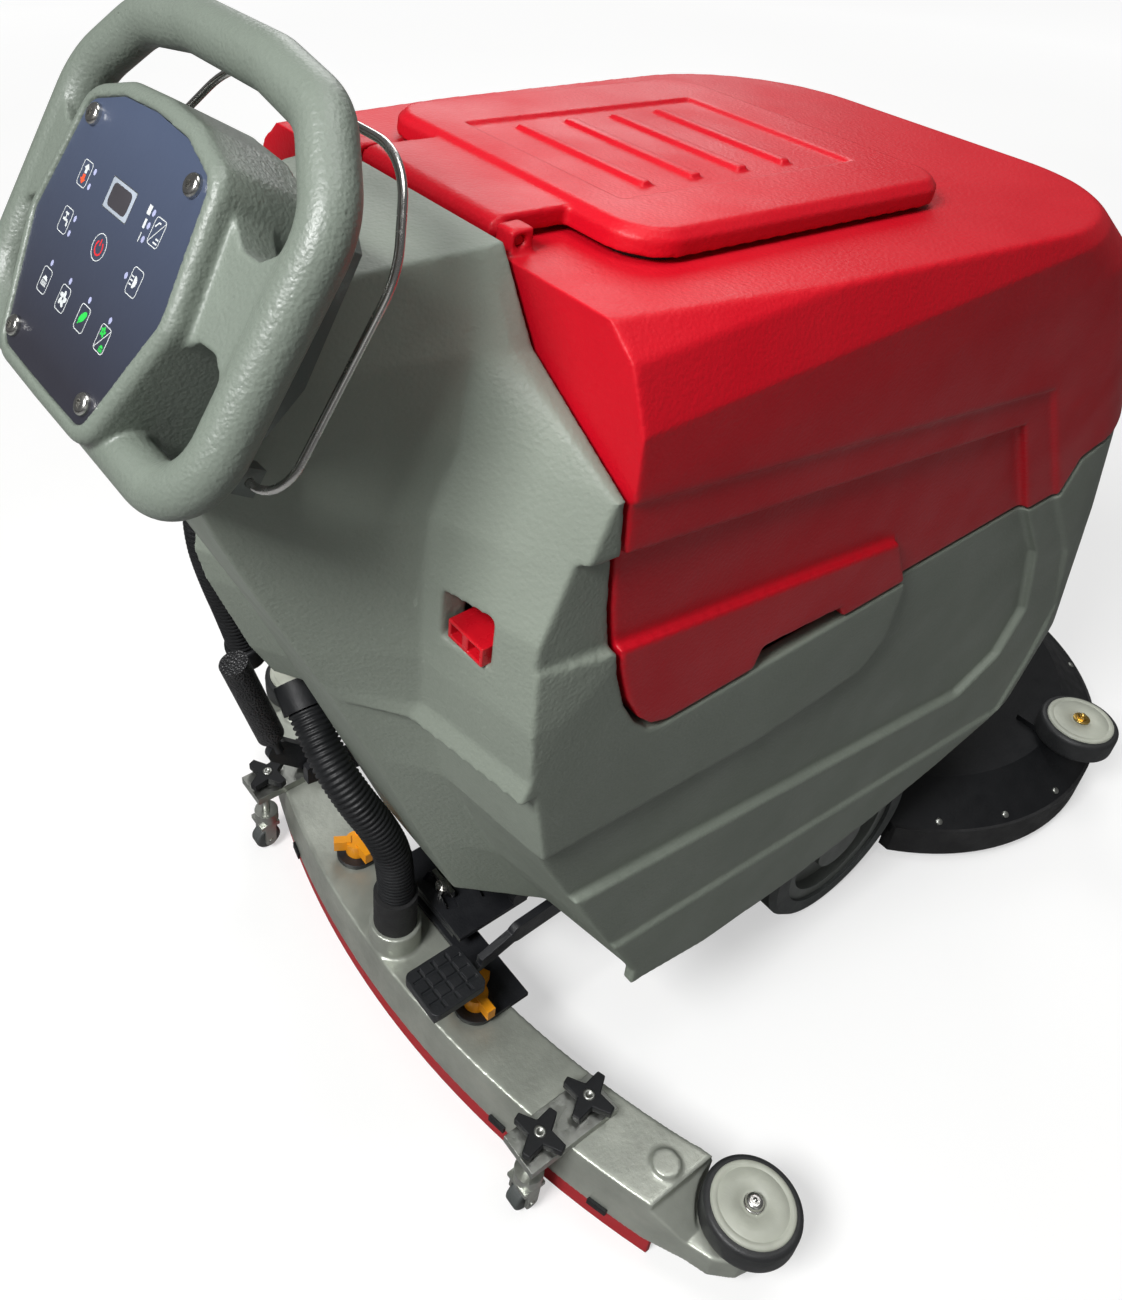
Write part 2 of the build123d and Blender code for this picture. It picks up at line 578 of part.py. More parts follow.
def chassis_frame():
    top = FLOOR_Z - WALL
    frame = both_sides(block(-285, 150, RAIL_Y - RAIL_WIDTH / 2, RAIL_Y + RAIL_WIDTH / 2, FRAME_LOW, top))
    cross = [(CASTER_X - 28, CASTER_X + 28), (26, 96), (122, 150)]
    frame += block(-285, -252, -150, 150, FRAME_LOW, top)
    for x0, x1 in cross:
        frame += block(x0, x1, -RAIL_Y, RAIL_Y, FRAME_LOW, top)
    lug = block(DECK_PIVOT_X - 14, DECK_PIVOT_X + 13, DECK_ARM_Y - 14, DECK_ARM_Y - 5,
                DECK_PIVOT_Z - 16, FRAME_LOW)
    lug -= bar(DECK_PIVOT_X, DECK_PIVOT_Z, 0, 200, 8 + RUN)
    frame += both_sides(lug)
    lug = block(LIFT_X - 14, LIFT_X + 14, LIFT_ARM_Y - 14, LIFT_ARM_Y - 5, LIFT_Z - 16, FRAME_LOW)
    lug -= bar(LIFT_X, LIFT_Z, 0, 70, 8 + RUN)
    frame += both_sides(lug)
    lug = block(LIFT_X - 14, LIFT_X + 14, PEDAL_Y + 8, PEDAL_Y + 18, LIFT_Z - 16, FRAME_LOW)
    lug -= bar(LIFT_X, LIFT_Z, PEDAL_Y, PEDAL_Y + 30, 8 + RUN)
    frame += lug
    # bracket that carries the lift lever
    bracket = side_prism([(-256, FRAME_LOW), (-256, top - 10), (-300, top - 12), (LEVER_X + 4, LEVER_Z + 16),
                          (LEVER_X - 18, LEVER_Z + 8), (LEVER_X - 18, LEVER_Z - 14), (-285, FRAME_LOW)],
                         LEVER_Y - 18, LEVER_Y - 9)
    bracket -= bar(LEVER_X, LEVER_Z, LEVER_Y - 40, LEVER_Y, 7 + RUN)
    frame += bracket
    # swivel seats of the rear casters
    for side in (-1, 1):
        frame += post(CASTER_X, side * CASTER_Y, FRAME_LOW - 14, FRAME_LOW + 10, 28)
        frame -= post(CASTER_X, side * CASTER_Y, FRAME_LOW - 20, FRAME_LOW + 16, 10 + RUN)
    return frame.solid()


def transaxle():
    """Gearbox, motor and axle stubs between the drive wheels."""
    case = fillet(block(AXLE_X - 55, AXLE_X + 37, -48, 48, 62, FRAME_LOW).edges().filter_by(Axis.Y), 14)
    motor = bar(AXLE_X, WHEEL_R + 4, 48, WHEEL_OUT - WHEEL_WIDTH - 13, 44)
    stub = bar(AXLE_X, WHEEL_R, 0, WHEEL_OUT - 12, AXLE_R)
    return (case + motor + both_sides(stub)).solid()


def drive_hub(side):
    inner = WHEEL_OUT - WHEEL_WIDTH
    hub = bar(AXLE_X, WHEEL_R, inner + 6, WHEEL_OUT - 4, WHEEL_RIM_R)
    hub -= bar(AXLE_X, WHEEL_R, WHEEL_OUT - 16, WHEEL_OUT, WHEEL_RIM_R - 14)
    hub += bar(AXLE_X, WHEEL_R, WHEEL_OUT - 20, WHEEL_OUT - 2, 34)
    hub -= bar(AXLE_X, WHEEL_R, inner, WHEEL_OUT - 12, AXLE_R + RUN)
    return (hub if side > 0 else mirror(hub, Plane.XZ)).solid()


def drive_tyre(side):
    tyre = bar(AXLE_X, WHEEL_R, WHEEL_OUT - WHEEL_WIDTH, WHEEL_OUT, WHEEL_R)
    tyre -= bar(AXLE_X, WHEEL_R, 0, 300, WHEEL_RIM_R)
    tyre = chamfer(tyre.edges().filter_by(GeomType.CIRCLE).group_by(SortBy.RADIUS)[-1], 6)
    return (tyre if side > 0 else mirror(tyre, Plane.XZ)).solid()


def caster_fork(side):
    y = side * CASTER_Y
    axle_x = CASTER_X - CASTER_TRAIL
    fork = post(CASTER_X, y, FRAME_LOW - 22, FRAME_LOW + 12, 10) + post(CASTER_X, y, 118, FRAME_LOW - 15, 27)
    fork += block(CASTER_X - 40, CASTER_X + 18, y - 26, y + 26, 112, 120)
    for cheek in (-1, 1):
        fork += link((axle_x, CASTER_R), (CASTER_X - 8, 110), y + cheek * 22, y + cheek * 26, 26)
    fork += bar(axle_x, CASTER_R, y - 30, y + 30, 6)
    return fork.solid()


def caster_wheel(side):
    y = side * CASTER_Y
    axle_x = CASTER_X - CASTER_TRAIL
    wheel = bar(axle_x, CASTER_R, y - 18, y + 18, CASTER_R)
    wheel = fillet(wheel.edges().filter_by(GeomType.CIRCLE), 7)
    wheel += bar(axle_x, CASTER_R, y - 21, y + 21, 14)
    return (wheel - bar(axle_x, CASTER_R, y - 30, y + 30, 6 + RUN)).solid()


def brush_deck():
    """Round housing, open below, with the arms that hinge it to the chassis."""
    slope = DECK_TOP - DECK_EDGE
    deck = post(DECK_X, 0, DECK_LOW, DECK_EDGE, DECK_R)
    deck += Pos(DECK_X, 0, DECK_EDGE + slope / 2) * Cone(DECK_R, DECK_R - DECK_SLOPE, slope)
    deck -= post(DECK_X, 0, DECK_LOW - 1, DECK_EDGE, DECK_R - 6)
    deck -= Pos(DECK_X, 0, DECK_EDGE + slope / 2 - 7) * Cone(DECK_R - 6, DECK_R - 6 - DECK_SLOPE, slope)
    deck -= post(DECK_X, 0, 0, 200, 14 + GAP)
    rib = Pos(DECK_X, 0, DECK_TOP + 4) * Box(2 * (DECK_R - DECK_SLOPE), 14, 8)
    deck += rib - post(DECK_X, 0, DECK_TOP - 1, DECK_TOP + 20, 82)
    deck, tail = clear_of_wheels(deck)
    knee = (DECK_X - 170, DECK_TOP + 12)
    foot = (DECK_X - 90, DECK_TOP + 12)
    arm = link((DECK_PIVOT_X, DECK_PIVOT_Z), knee, DECK_ARM_Y - 4, DECK_ARM_Y + 4, 30)
    arm += link(knee, foot, DECK_ARM_Y - 4, DECK_ARM_Y + 4, 25)
    arm += bar(DECK_PIVOT_X, DECK_PIVOT_Z, DECK_ARM_Y - 18, DECK_ARM_Y, 8)
    deck += both_sides(arm)
    # outrigger and post of the bumper roller
    low = DECK_ROLLER_TOP - ROLLER_HEIGHT - GAP
    deck += block(DECK_ROLLER_X - 22, DECK_ROLLER_X + 22, DECK_ROLLER_Y - 8, DECK_ROLLER_Y + 60,
                  low - 14, low)
    deck += post(DECK_ROLLER_X, DECK_ROLLER_Y, low - 14, low, 22)
    deck += post(DECK_ROLLER_X, DECK_ROLLER_Y, low, DECK_ROLLER_TOP + 1, 6)
    return Compound(children=[deck.solids().sort_by(SortBy.VOLUME)[-1], tail])


def clear_of_wheels(shape):
    """The shape ahead of the drive wheels, and its narrow tail between them."""
    split = AXLE_X + WHEEL_R + WHEEL_GAP
    half = WHEEL_OUT - WHEEL_WIDTH - WHEEL_GAP
    ahead = shape & block(split, DECK_X + 400, -400, 400, 0, 200)
    tail = shape & block(DECK_X - 400, split, -half, half, 0, 200)
    return ahead.solids().sort_by(SortBy.VOLUME)[-1], tail.solids().sort_by(SortBy.VOLUME)[-1]


def deck_skirt():
    """Splash skirt around the deck's lower edge."""
    ring = post(DECK_X, 0, SKIRT_LOW, DECK_EDGE, SKIRT_R)
    ring -= post(DECK_X, 0, DECK_LOW, DECK_EDGE + 1, DECK_R)
    ring -= post(DECK_X, 0, 0, 100, DECK_R - 5)
    return Compound(children=list(clear_of_wheels(ring)))


def brush_motor():
    motor = post(DECK_X, 0, DECK_TOP, DECK_TOP + 30, 78) + post(DECK_X, 0, DECK_TOP + 30, DECK_TOP + 104, 64)
    motor += post(DECK_X, 0, DECK_TOP + 104, DECK_TOP + 112, 50)
    motor += Pos(DECK_X, 0, DECK_TOP + 66) * Rot(0, 90, 0) * Cylinder(12, 150)
    return (motor - post(DECK_X, 0, DECK_TOP - 1, DECK_TOP + 40, 12 + RUN)).solid()


def brush_disc():
    disc = post(DECK_X, 0, BRISTLE_LENGTH, BRISTLE_LENGTH + 14, BRUSH_R - 12)
    disc += post(DECK_X, 0, BRISTLE_LENGTH + 14, DECK_TOP - 12, 40)
    return (disc + post(DECK_X, 0, BRISTLE_LENGTH, DECK_TOP + 38, 12)).solid()


def brush_bristles():
    ring = post(DECK_X, 0, 0, BRISTLE_LENGTH, BRUSH_R - 12) - post(DECK_X, 0, -1, BRISTLE_LENGTH + 1, 110)
    return ring.solid()


def roller(x, y, top):
    """Bumper roller: plastic disc in a rubber tyre, turning on a post."""
    low = top - ROLLER_HEIGHT
    disc = post(x, y, low, top, ROLLER_DISC_R) - post(x, y, low - 1, top + 1, 6 + RUN)
    disc = chamfer(disc.faces().sort_by(Axis.Z)[-1].edges().group_by(SortBy.RADIUS)[-1], 1.5)
    tyre = post(x, y, low + 1, top - 2, ROLLER_R) - post(x, y, low, top, ROLLER_DISC_R)
    tyre = fillet(tyre.edges().filter_by(GeomType.CIRCLE).group_by(SortBy.RADIUS)[-1], 5)
    return Compound(children=[disc.solid(), tyre.solid()])


def foot_pedal():
    """Deck pedal: a pivoted arm with a rubber pad on its end plate."""
    arm = link((LIFT_X, LIFT_Z), (-340, 182), PEDAL_Y - 4, PEDAL_Y + 4, 24)
    arm += link((-340, 182), (PEDAL_PAD_X + 20, PEDAL_PAD_Z - 10), PEDAL_Y - 4, PEDAL_Y + 4, 16)
    arm += bar(LIFT_X, LIFT_Z, PEDAL_Y, PEDAL_Y + 22, 8)
    plate = Pos(PEDAL_PAD_X, PEDAL_Y, PEDAL_PAD_Z - 8) * Box(58, 46, 6)
    pad = Pos(PEDAL_PAD_X, PEDAL_Y, PEDAL_PAD_Z) * Box(62, 52, 10)
    pad = fillet(pad.edges().filter_by(Axis.Z), 8)
    for i in (-1, 0, 1):
        pad -= Pos(PEDAL_PAD_X + 15 * i, PEDAL_Y, PEDAL_PAD_Z + 5) * Box(3, 44, 4)
        pad -= Pos(PEDAL_PAD_X, PEDAL_Y + 13 * i, PEDAL_PAD_Z + 5) * Box(54, 3, 4)
    arm = (arm + plate) - Pos(PEDAL_PAD_X, PEDAL_Y, PEDAL_PAD_Z + 5) * Box(80, 60, 20)
    return Compound(children=[arm.solid(), pad.solid()])


def squeegee_arm():
    """Lift arm of the squeegee: two cheeks and a plate with two arc slots about the spigot."""
    top = ARM_Z + PLATE
    arm = block(PLATE_REAR, PLATE_FRONT, -LIFT_ARM_Y - 4, LIFT_ARM_Y + 4, ARM_Z, top)
    width = STUD_R + 1
    for r in SLOT_RADII:
        half = radians(SWING_LIMIT) + asin(2 * width / r)
        ring = post(SPIGOT_X, 0, ARM_Z - 1, top + 1, r + width)
        ring -= post(SPIGOT_X, 0, ARM_Z - 2, top + 2, r - width)
        far = SPIGOT_X + 2 * r
        side = 2 * r * tan(half)
        wedge = prism([(SPIGOT_X, 0), (far, side), (far, -side)], ARM_Z - 2, top + 2)
        arm -= ring & wedge
    cheek = link((LIFT_X, LIFT_Z), (PLATE_FRONT - 8, ARM_Z + 12), LIFT_ARM_Y - 4, LIFT_ARM_Y + 4, 24)
    cheek += bar(LIFT_X, LIFT_Z, LIFT_ARM_Y - 18, LIFT_ARM_Y, 8)
    return (arm + both_sides(cheek)).solid()


def squeegee_bracket():
    """Black bracket: tongue under the arc plate, two feet on the squeegee."""
    low = SQ_TOP
    bracket = block(-372, -340, -130, 130, low, low + PLATE)
    foot = block(KNOB_X, -372, KNOB_Y - 22, KNOB_Y + 22, low, low + PLATE)
    foot += post(KNOB_X, KNOB_Y, low, low + PLATE, 22)
    foot += post(KNOB_X, KNOB_Y, low + PLATE, low + PLATE + 15, 4)
    bracket += both_sides(foot)
    bracket += block(-346, -340, -45, 45, low, ARM_Z - 1)
    bracket += block(PLATE_REAR, PLATE_FRONT - 6, -45, 45, ARM_Z - 1 - PLATE, ARM_Z - 1)
    return bracket.solid()


def arc_ring(r0, r1, z0, z1, half):
    """Arc-shaped wall about the squeegee's centre of curvature."""
    ring = post(SQ_CENTRE, 0, z0, z1, r1) - post(SQ_CENTRE, 0, z0 - 1, z1 + 1, r0)
    return ring & block(SQ_REAR - 20, SQ_REAR + 260, -half, half, z0 - 2, z1 + 2)


BOSS_Y = SQ_HALF - 18.0


def rear_edge(y):
    """Rear face of the curved body at a distance from the centre line."""
    return SQ_CENTRE - sqrt(SQ_RADIUS ** 2 - y ** 2)


def end_casting():
    """End of the body: it slopes down to the plate that carries the bumper roller."""
    inner = SQ_HALF - 40
    outline = [(rear_edge(inner), inner), (rear_edge(SQ_HALF), SQ_HALF), (END_X - 58, END_Y - 14),
               (END_X - 50, END_Y + 6), (END_X - 32, END_Y + 22), (END_X, END_Y + 29),
               (END_X + 22, END_Y + 22), (END_X + 32, END_Y + 4), (rear_edge(inner) + SQ_DEPTH, inner)]
    cast = prism(outline, SQ_LOW, SQ_TOP)
    ramp = [(SQ_HALF - 14, SQ_TOP + 1), (SQ_HALF + 30, PAD_TOP), (END_Y + 40, PAD_TOP),
            (END_Y + 40, SQ_TOP + 1)]
    face = make_face(Polyline(*[(END_X - 90, y, z) for y, z in ramp], close=True))
    cast -= extrude(face, 180, dir=(1, 0, 0))
    return cast - post(END_X, END_Y, PAD_TOP, SQ_TOP + 1, ROLLER_R + 3)


def squeegee_body():
    body = arc_ring(SQ_RADIUS - SQ_DEPTH, SQ_RADIUS, SQ_LOW, SQ_TOP, SQ_HALF)
    body -= arc_ring(SQ_RADIUS - SQ_DEPTH + SQ_WALL, SQ_RADIUS - SQ_WALL,
                     SQ_LOW - 1, SQ_TOP - SQ_WALL, SQ_HALF - 8)
    body += both_sides(end_casting())
    body += both_sides(post((rear_edge(BOSS_Y) + END_X) / 2, BOSS_Y, SQ_TOP - 1, SQ_TOP + 5, 13))
    # inlet spigot of the vacuum hose
    spigot = post(SPIGOT_X, 0, SQ_TOP - 1, SQ_TOP + 30, 27)
    spigot += post(SPIGOT_X, 0, SQ_TOP + 30, SQ_TOP + 62, HOSE_R - 5)
    body += spigot
    body -= post(SPIGOT_X, 0, SQ_LOW, SQ_TOP + 80, HOSE_R - 8)
    return body.solids().sort_by(SortBy.VOLUME)[-1]


def rear_blade():
    outer = SQ_RADIUS - SQ_WALL - 0.2
    blade = arc_ring(outer - BLADE, outer, 0, SQ_LOW + 26, SQ_HALF - 44)
    return (blade + arc_ring(outer - BLADE, outer, 0, SQ_LOW - GAP, SQ_HALF + 4)).solid()


def front_blade():
    inner = SQ_RADIUS - SQ_DEPTH - 0.2
    return arc_ring(inner - BLADE, inner, 1, SQ_LOW + 12, SQ_HALF - 30).solid()


def blade_strap():
    """Strap that clamps the rear blade from inside, and the clips on the rear wall."""
    r = SQ_RADIUS - SQ_WALL - BLADE - 0.4
    pieces = [arc_ring(r - 1.6, r, SQ_LOW + 6, SQ_LOW + 20, SQ_HALF - 50).solid()]
    inner, outer = SQ_HALF - 152, SQ_HALF - 42
    for y in (-outer, -inner, inner, outer):
        clip = arc_ring(SQ_RADIUS + 0.2, SQ_RADIUS + 3, SQ_LOW, SQ_LOW + 9, SQ_HALF)
        pieces.append((clip & block(SQ_REAR - 40, SQ_REAR + 120, y - 9, y + 9, 0, 100)).solid())
    return Compound(children=pieces)


def squeegee_bolts():
    """Stud with a wing nut, guide bolt of the outer slot, and the end roller bolts."""
    top = ARM_Z + PLATE + GAP
    near = SPIGOT_X + SLOT_RADII[0]
    far = SPIGOT_X + SLOT_RADII[1]
    stud = post(near, 0, ARM_Z - 1, top + 12, STUD_R) + post(near, 0, top, top + 7, 8)
    stud += Pos(near, 0, top + 10) * Box(5, 34, 8)
    guide = post(far, 0, ARM_Z - 1, top, STUD_R) + post(far, 0, top, top + 8, 11)
    pieces = [stud.solid(), guide.solid()]
    for side in (-1, 1):
        bolt = post(END_X, side * END_Y, PAD_TOP, END_TOP + 1, 6)
        bolt += post(END_X, side * END_Y, END_TOP + 0.5, END_TOP + 7, 8)
        pieces.append(fillet(bolt.faces().sort_by(Axis.Z)[-1].edges(), 4).solid())
    return Compound(children=pieces)


def caster_brackets():
    """Clamp arms that carry the squeegee's support casters."""
    pieces = []
    for side in (-1, 1):
        y = side * SUPPORT_Y
        arm = block(SUPPORT_X - 18, STAR_FRONT_X + 20, y - 20, y + 20, SQ_TOP, SQ_TOP + 10)
        arm += post(STAR_FRONT_X, y, SQ_TOP + 10, SQ_TOP + 21, 3)
        arm += post(STAR_REAR_X, y, SQ_TOP + 10, SQ_TOP + 21, 3)
        arm -= post(SUPPORT_X, y, SQ_TOP - 1, SQ_TOP + 7, 5 + RUN)
        pieces.append(arm.solid())
    return Compound(children=pieces)


def support_fork(side):
    y = side * SUPPORT_Y
    axle_x = SUPPORT_X - SUPPORT_TRAIL
    fork = post(SUPPORT_X, y, 44, SQ_TOP + 6, 5) + post(SUPPORT_X, y, 46, 60, 14)
    fork += block(SUPPORT_X - 14, SUPPORT_X + 10, y - 13, y + 13, 40, 46)
    for cheek in (-1, 1):
        fork += link((axle_x, SUPPORT_R), (SUPPORT_X - 2, 40), y + cheek * 10, y + cheek * 13, 14)
    return (fork + bar(axle_x, SUPPORT_R, y - 14, y + 14, 3)).solid()


def support_wheel(side):
    y = side * SUPPORT_Y
    axle_x = SUPPORT_X - SUPPORT_TRAIL
    wheel = bar(axle_x, SUPPORT_R, y - 8, y + 8, SUPPORT_R)
    wheel = fillet(wheel.edges().filter_by(GeomType.CIRCLE), 3)
    return (wheel - bar(axle_x, SUPPORT_R, y - 20, y + 20, 3 + RUN)).solid()


def wing_knob(side):
    y = side * KNOB_Y
    low = SQ_TOP + PLATE + GAP
    knob = post(KNOB_X, y, low, low + 18, 12)
    for i in range(3):
        wing = Pos(WING_R / 2 + 3, 0, 0) * Box(WING_R - 6, 9, 14)
        knob += Pos(KNOB_X, y, low + 13) * Rot(0, 0, 30 + 120 * i) * wing
    return (knob - post(KNOB_X, y, low - 1, low + 15, 4 + RUN)).solid()


def star_knob(x, side):
    y = side * SUPPORT_Y
    low = SQ_TOP + 10 + GAP
    outline = []
    for i in range(4):
        for turn, r in ((-9, STAR_R), (9, STAR_R), (45, 11)):
            angle = radians(20 + 90 * i + turn)
            outline.append((x + r * cos(angle), y + r * sin(angle)))
    knob = prism(outline, low + 5, low + 14) + post(x, y, low, low + 14, 10)
    return (knob - post(x, y, low - 1, low + 11, 3 + RUN)).solid()


def lift_lever():
    lever = link((LEVER_X, LEVER_Z), (LEVER_X - 42, LEVER_Z + 42), LEVER_Y - 8, LEVER_Y, 26)
    lever += bar(LEVER_X, LEVER_Z, LEVER_Y - 24, LEVER_Y - 4, 7)
    lever += tube_between(GRIP_START, GRIP_END, 6)
    return lever.solid()


GRIP_START = (LEVER_X - 42, LEVER_Y - 4, LEVER_Z + 42)
GRIP_END = (LEVER_X - 78, LEVER_Y - 4, LEVER_Z + 176)


def tube_between(p, q, r):
    """Straight rod from one point to another."""
    line = Line(p, q)
    return sweep(Plane(origin=p, z_dir=line % 0) * Circle(r), path=line)


def lever_grip():
    line = Line(GRIP_START, GRIP_END)
    low = line @ 0.2
    high = Vector(*GRIP_END) + (line % 0) * 8
    grip = tube_between(low, high, GRIP_R) - tube_between(GRIP_START, GRIP_END, 6)
    return grip.solid()


def route_tube(points, r, name):
    """Tube along straight runs with the largest tangent arcs that fit."""
    radii = []
    for a, b, c in zip(points, points[1:], points[2:]):
        before = Vector(*b) - Vector(*a)
        after = Vector(*c) - Vector(*b)
        turn = radians(before.get_angle(after))
        radii.append(0.45 * min(before.length, after.length) / (sin(turn / 2) / cos(turn / 2)))
    path = FilletPolyline(*points, radius=radii)
    tube = sweep(Plane(origin=path @ 0, z_dir=path % 0) * Circle(r), path=path)
    print(name, "radii", [round(v) for v in radii], "length", round(path.length),
          "volume ratio", round(tube.volume / (3.14159265 * r * r * path.length), 4))
    return tube.solid()


def inlet_neck(grow=0.0):
    """Round neck from the inlet cup forward through the body's rear wall."""
    end = Vector(*HOSE_POINTS[-1]) + hose_end() * (INLET_CUP / 2)
    neck = Rot(0, 90, 0) * Cylinder(INLET_R + grow, INLET_REACH)
    return Pos(end.X + INLET_REACH / 2 - 3, end.Y, end.Z) * neck


def hose_end():
    """Direction in which the hose arrives at the body."""
    return (Vector(*HOSE_POINTS[-1]) - Vector(*HOSE_POINTS[-2])).normalized()


def body_inlet():
    """Suction elbow on the body's rear that takes the hose's upper end."""
    start = Vector(*HOSE_POINTS[-1])
    cup = tube_between(start, start + hose_end() * INLET_CUP, HOSE_R + 3)
    return (cup + inlet_neck()).solid()


def vacuum_motor():
    motor = post(-238, -100, FLOOR_Z, FLOOR_Z + 90, 44) + post(-238, -100, FLOOR_Z + 90, FLOOR_Z + 150, 36)
    return motor.solid()


def controller_box():
    box = block(-272, -198, 20, 170, FLOOR_Z, FLOOR_Z + 60)
    for i in range(6):
        box += block(-270, -200, 28 + 24 * i, 34 + 24 * i, FLOOR_Z + 60, FLOOR_Z + 74)
    return box.solid()


def batteries():
    pieces = []
    wide = BODY_HALF - WALL - RECESS - 19
    for side in (-1, 1):
        y0 = 4 if side > 0 else -4 - wide
        case = block(-190, 150, y0, y0 + wide, FLOOR_Z, FLOOR_Z + 222)
        case += block(-186, 146, y0 + 4, y0 + wide - 4, FLOOR_Z + 222, FLOOR_Z + 240)
        for x in (-160, 120):
            case += post(x, y0 + 40, FLOOR_Z + 240, FLOOR_Z + 258, 9)
        pieces.append(case.solid())
    return Compound(children=pieces)


def hose_cuff():
    """Rubber cuff that joins the hose to the squeegee's spigot."""
    top = HOSE_POINTS[0][2]
    low = SQ_TOP + 30
    cuff = post(SPIGOT_X, 0, low, top, HOSE_R + 3.5) - post(SPIGOT_X, 0, low - 1, top + 1, HOSE_R - 8)
    return (cuff - post(SPIGOT_X, 0, low - 1, SQ_TOP + 62, HOSE_R - 5)).solid()


NODES = {
    "chassis_frame": chassis_frame(),
    "solution_tank": solution_tank(),
    "recovery_tank": recovery_tank(),
    "tank_hinges": tank_hinges(),
    "recovery_lid": recovery_lid(),
    "lid_gasket": lid_gasket(),
    "float_cage": float_cage(),
    "handle_shell": handle_shell(),
    "handle_cover": handle_cover(),
    "control_panel": control_panel(),
    "panel_screws": panel_screws(),
    "display_window": display_window(),
    "control_board": control_board(),
    "bail_lever": bail_lever(),
    "charge_connector": charge_connector(),
    "transaxle": transaxle(),
    "brush_deck": brush_deck(),
    "deck_skirt": deck_skirt(),
    "brush_motor": brush_motor(),
    "brush_disc": brush_disc(),
    "brush_bristles": brush_bristles(),
    "deck_roller": roller(DECK_ROLLER_X, DECK_ROLLER_Y, DECK_ROLLER_TOP),
    "foot_pedal": foot_pedal(),
    "squeegee_arm": squeegee_arm(),
    "squeegee_bracket": squeegee_bracket(),
    "squeegee_body": squeegee_body(),
    "rear_blade": rear_blade(),
    "front_blade": front_blade(),
    "blade_strap": blade_strap(),
    "squeegee_bolts": squeegee_bolts(),
    "caster_brackets": caster_brackets(),
    "lift_lever": lift_lever(),
    "lever_grip": lever_grip(),
    "vacuum_hose": route_tube(HOSE_POINTS, HOSE_R, "vacuum hose"),
    "drain_hose": route_tube(DRAIN_POINTS, DRAIN_R, "drain hose"),
    "body_inlet": body_inlet(),
    "vacuum_motor": vacuum_motor(),
    "controller_box": controller_box(),
    "batteries": batteries(),
    "hose_cuff": hose_cuff(),
}
for label, side in (("left", 1), ("right", -1)):
    NODES["drive_hub_" + label] = drive_hub(side)
    NODES["drive_tyre_" + label] = drive_tyre(side)
    NODES["caster_fork_" + label] = caster_fork(side)
    NODES["caster_wheel_" + label] = caster_wheel(side)
    NODES["end_roller_" + label] = roller(END_X, side * END_Y, END_TOP)
    NODES["support_fork_" + label] = support_fork(side)
    NODES["support_wheel_" + label] = support_wheel(side)
    NODES["wing_knob_" + label] = wing_knob(side)
    NODES["star_knob_front_" + label] = star_knob(STAR_FRONT_X, side)
    NODES["star_knob_rear_" + label] = star_knob(STAR_REAR_X, side)

os.makedirs("parts", exist_ok=True)
for name, shape in NODES.items():
    export_step(shape, f"parts/{name}.step")
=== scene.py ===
import json
import math

import bmesh
import bpy
import numpy as np
from mathutils import Matrix, Vector

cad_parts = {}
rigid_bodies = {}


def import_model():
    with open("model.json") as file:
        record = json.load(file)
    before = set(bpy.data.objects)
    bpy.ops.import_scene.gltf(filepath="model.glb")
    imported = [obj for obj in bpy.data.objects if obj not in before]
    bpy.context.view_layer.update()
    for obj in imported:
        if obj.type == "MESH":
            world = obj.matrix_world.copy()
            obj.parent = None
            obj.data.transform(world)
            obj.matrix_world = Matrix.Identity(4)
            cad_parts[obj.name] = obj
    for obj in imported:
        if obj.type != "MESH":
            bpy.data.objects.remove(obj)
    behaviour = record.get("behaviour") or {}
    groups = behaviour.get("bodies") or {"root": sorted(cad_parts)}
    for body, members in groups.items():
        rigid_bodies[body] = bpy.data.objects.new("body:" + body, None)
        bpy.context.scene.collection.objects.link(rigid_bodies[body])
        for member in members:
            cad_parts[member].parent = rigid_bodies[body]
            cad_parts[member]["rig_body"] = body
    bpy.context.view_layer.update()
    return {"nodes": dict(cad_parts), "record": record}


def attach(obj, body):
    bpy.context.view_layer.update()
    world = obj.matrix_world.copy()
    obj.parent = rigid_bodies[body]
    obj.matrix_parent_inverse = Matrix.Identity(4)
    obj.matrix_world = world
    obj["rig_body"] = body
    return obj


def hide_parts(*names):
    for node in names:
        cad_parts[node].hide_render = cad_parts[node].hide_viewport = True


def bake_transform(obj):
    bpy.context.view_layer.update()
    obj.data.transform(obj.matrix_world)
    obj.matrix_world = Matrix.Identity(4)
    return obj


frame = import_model()
NODES = frame["nodes"]
SLOTS = {row["node"]: row["material_slot"] for row in frame["record"]["subparts"]}
SIDES = (("left", 1), ("right", -1))
UPWARD = (0, 0, 1)
scene = bpy.context.scene


# Camera at the photograph's viewing angle

AZIMUTH = math.radians(-35.5)
ELEVATION = math.radians(37.5)
ROLL = math.radians(1.1)
CAMERA_PLACE = (-0.8111, -0.5734, 1.1942)
LENS = 32.47
SENSOR_WIDTH = 36.0
SHIFT_X, SHIFT_Y = 0.1153, -0.1076


def add_camera():
    flat = math.cos(ELEVATION)
    back = Vector((math.sin(AZIMUTH) * flat, -math.cos(AZIMUTH) * flat, math.sin(ELEVATION)))
    level = Vector((math.cos(AZIMUTH), math.sin(AZIMUTH), 0))
    rise = back.cross(level)
    right = level * math.cos(ROLL) + rise * math.sin(ROLL)
    up = rise * math.cos(ROLL) - level * math.sin(ROLL)
    data = bpy.data.cameras.new("camera")
    data.lens = LENS
    data.sensor_width = SENSOR_WIDTH
    data.shift_x = SHIFT_X
    data.shift_y = SHIFT_Y
    camera = bpy.data.objects.new("camera", data)
    scene.collection.objects.link(camera)
    turn = Matrix((right, up, back)).transposed().to_4x4()
    camera.matrix_world = Matrix.Translation(CAMERA_PLACE) @ turn
    scene.camera = camera


# Materials, with colours written as 0 to 255

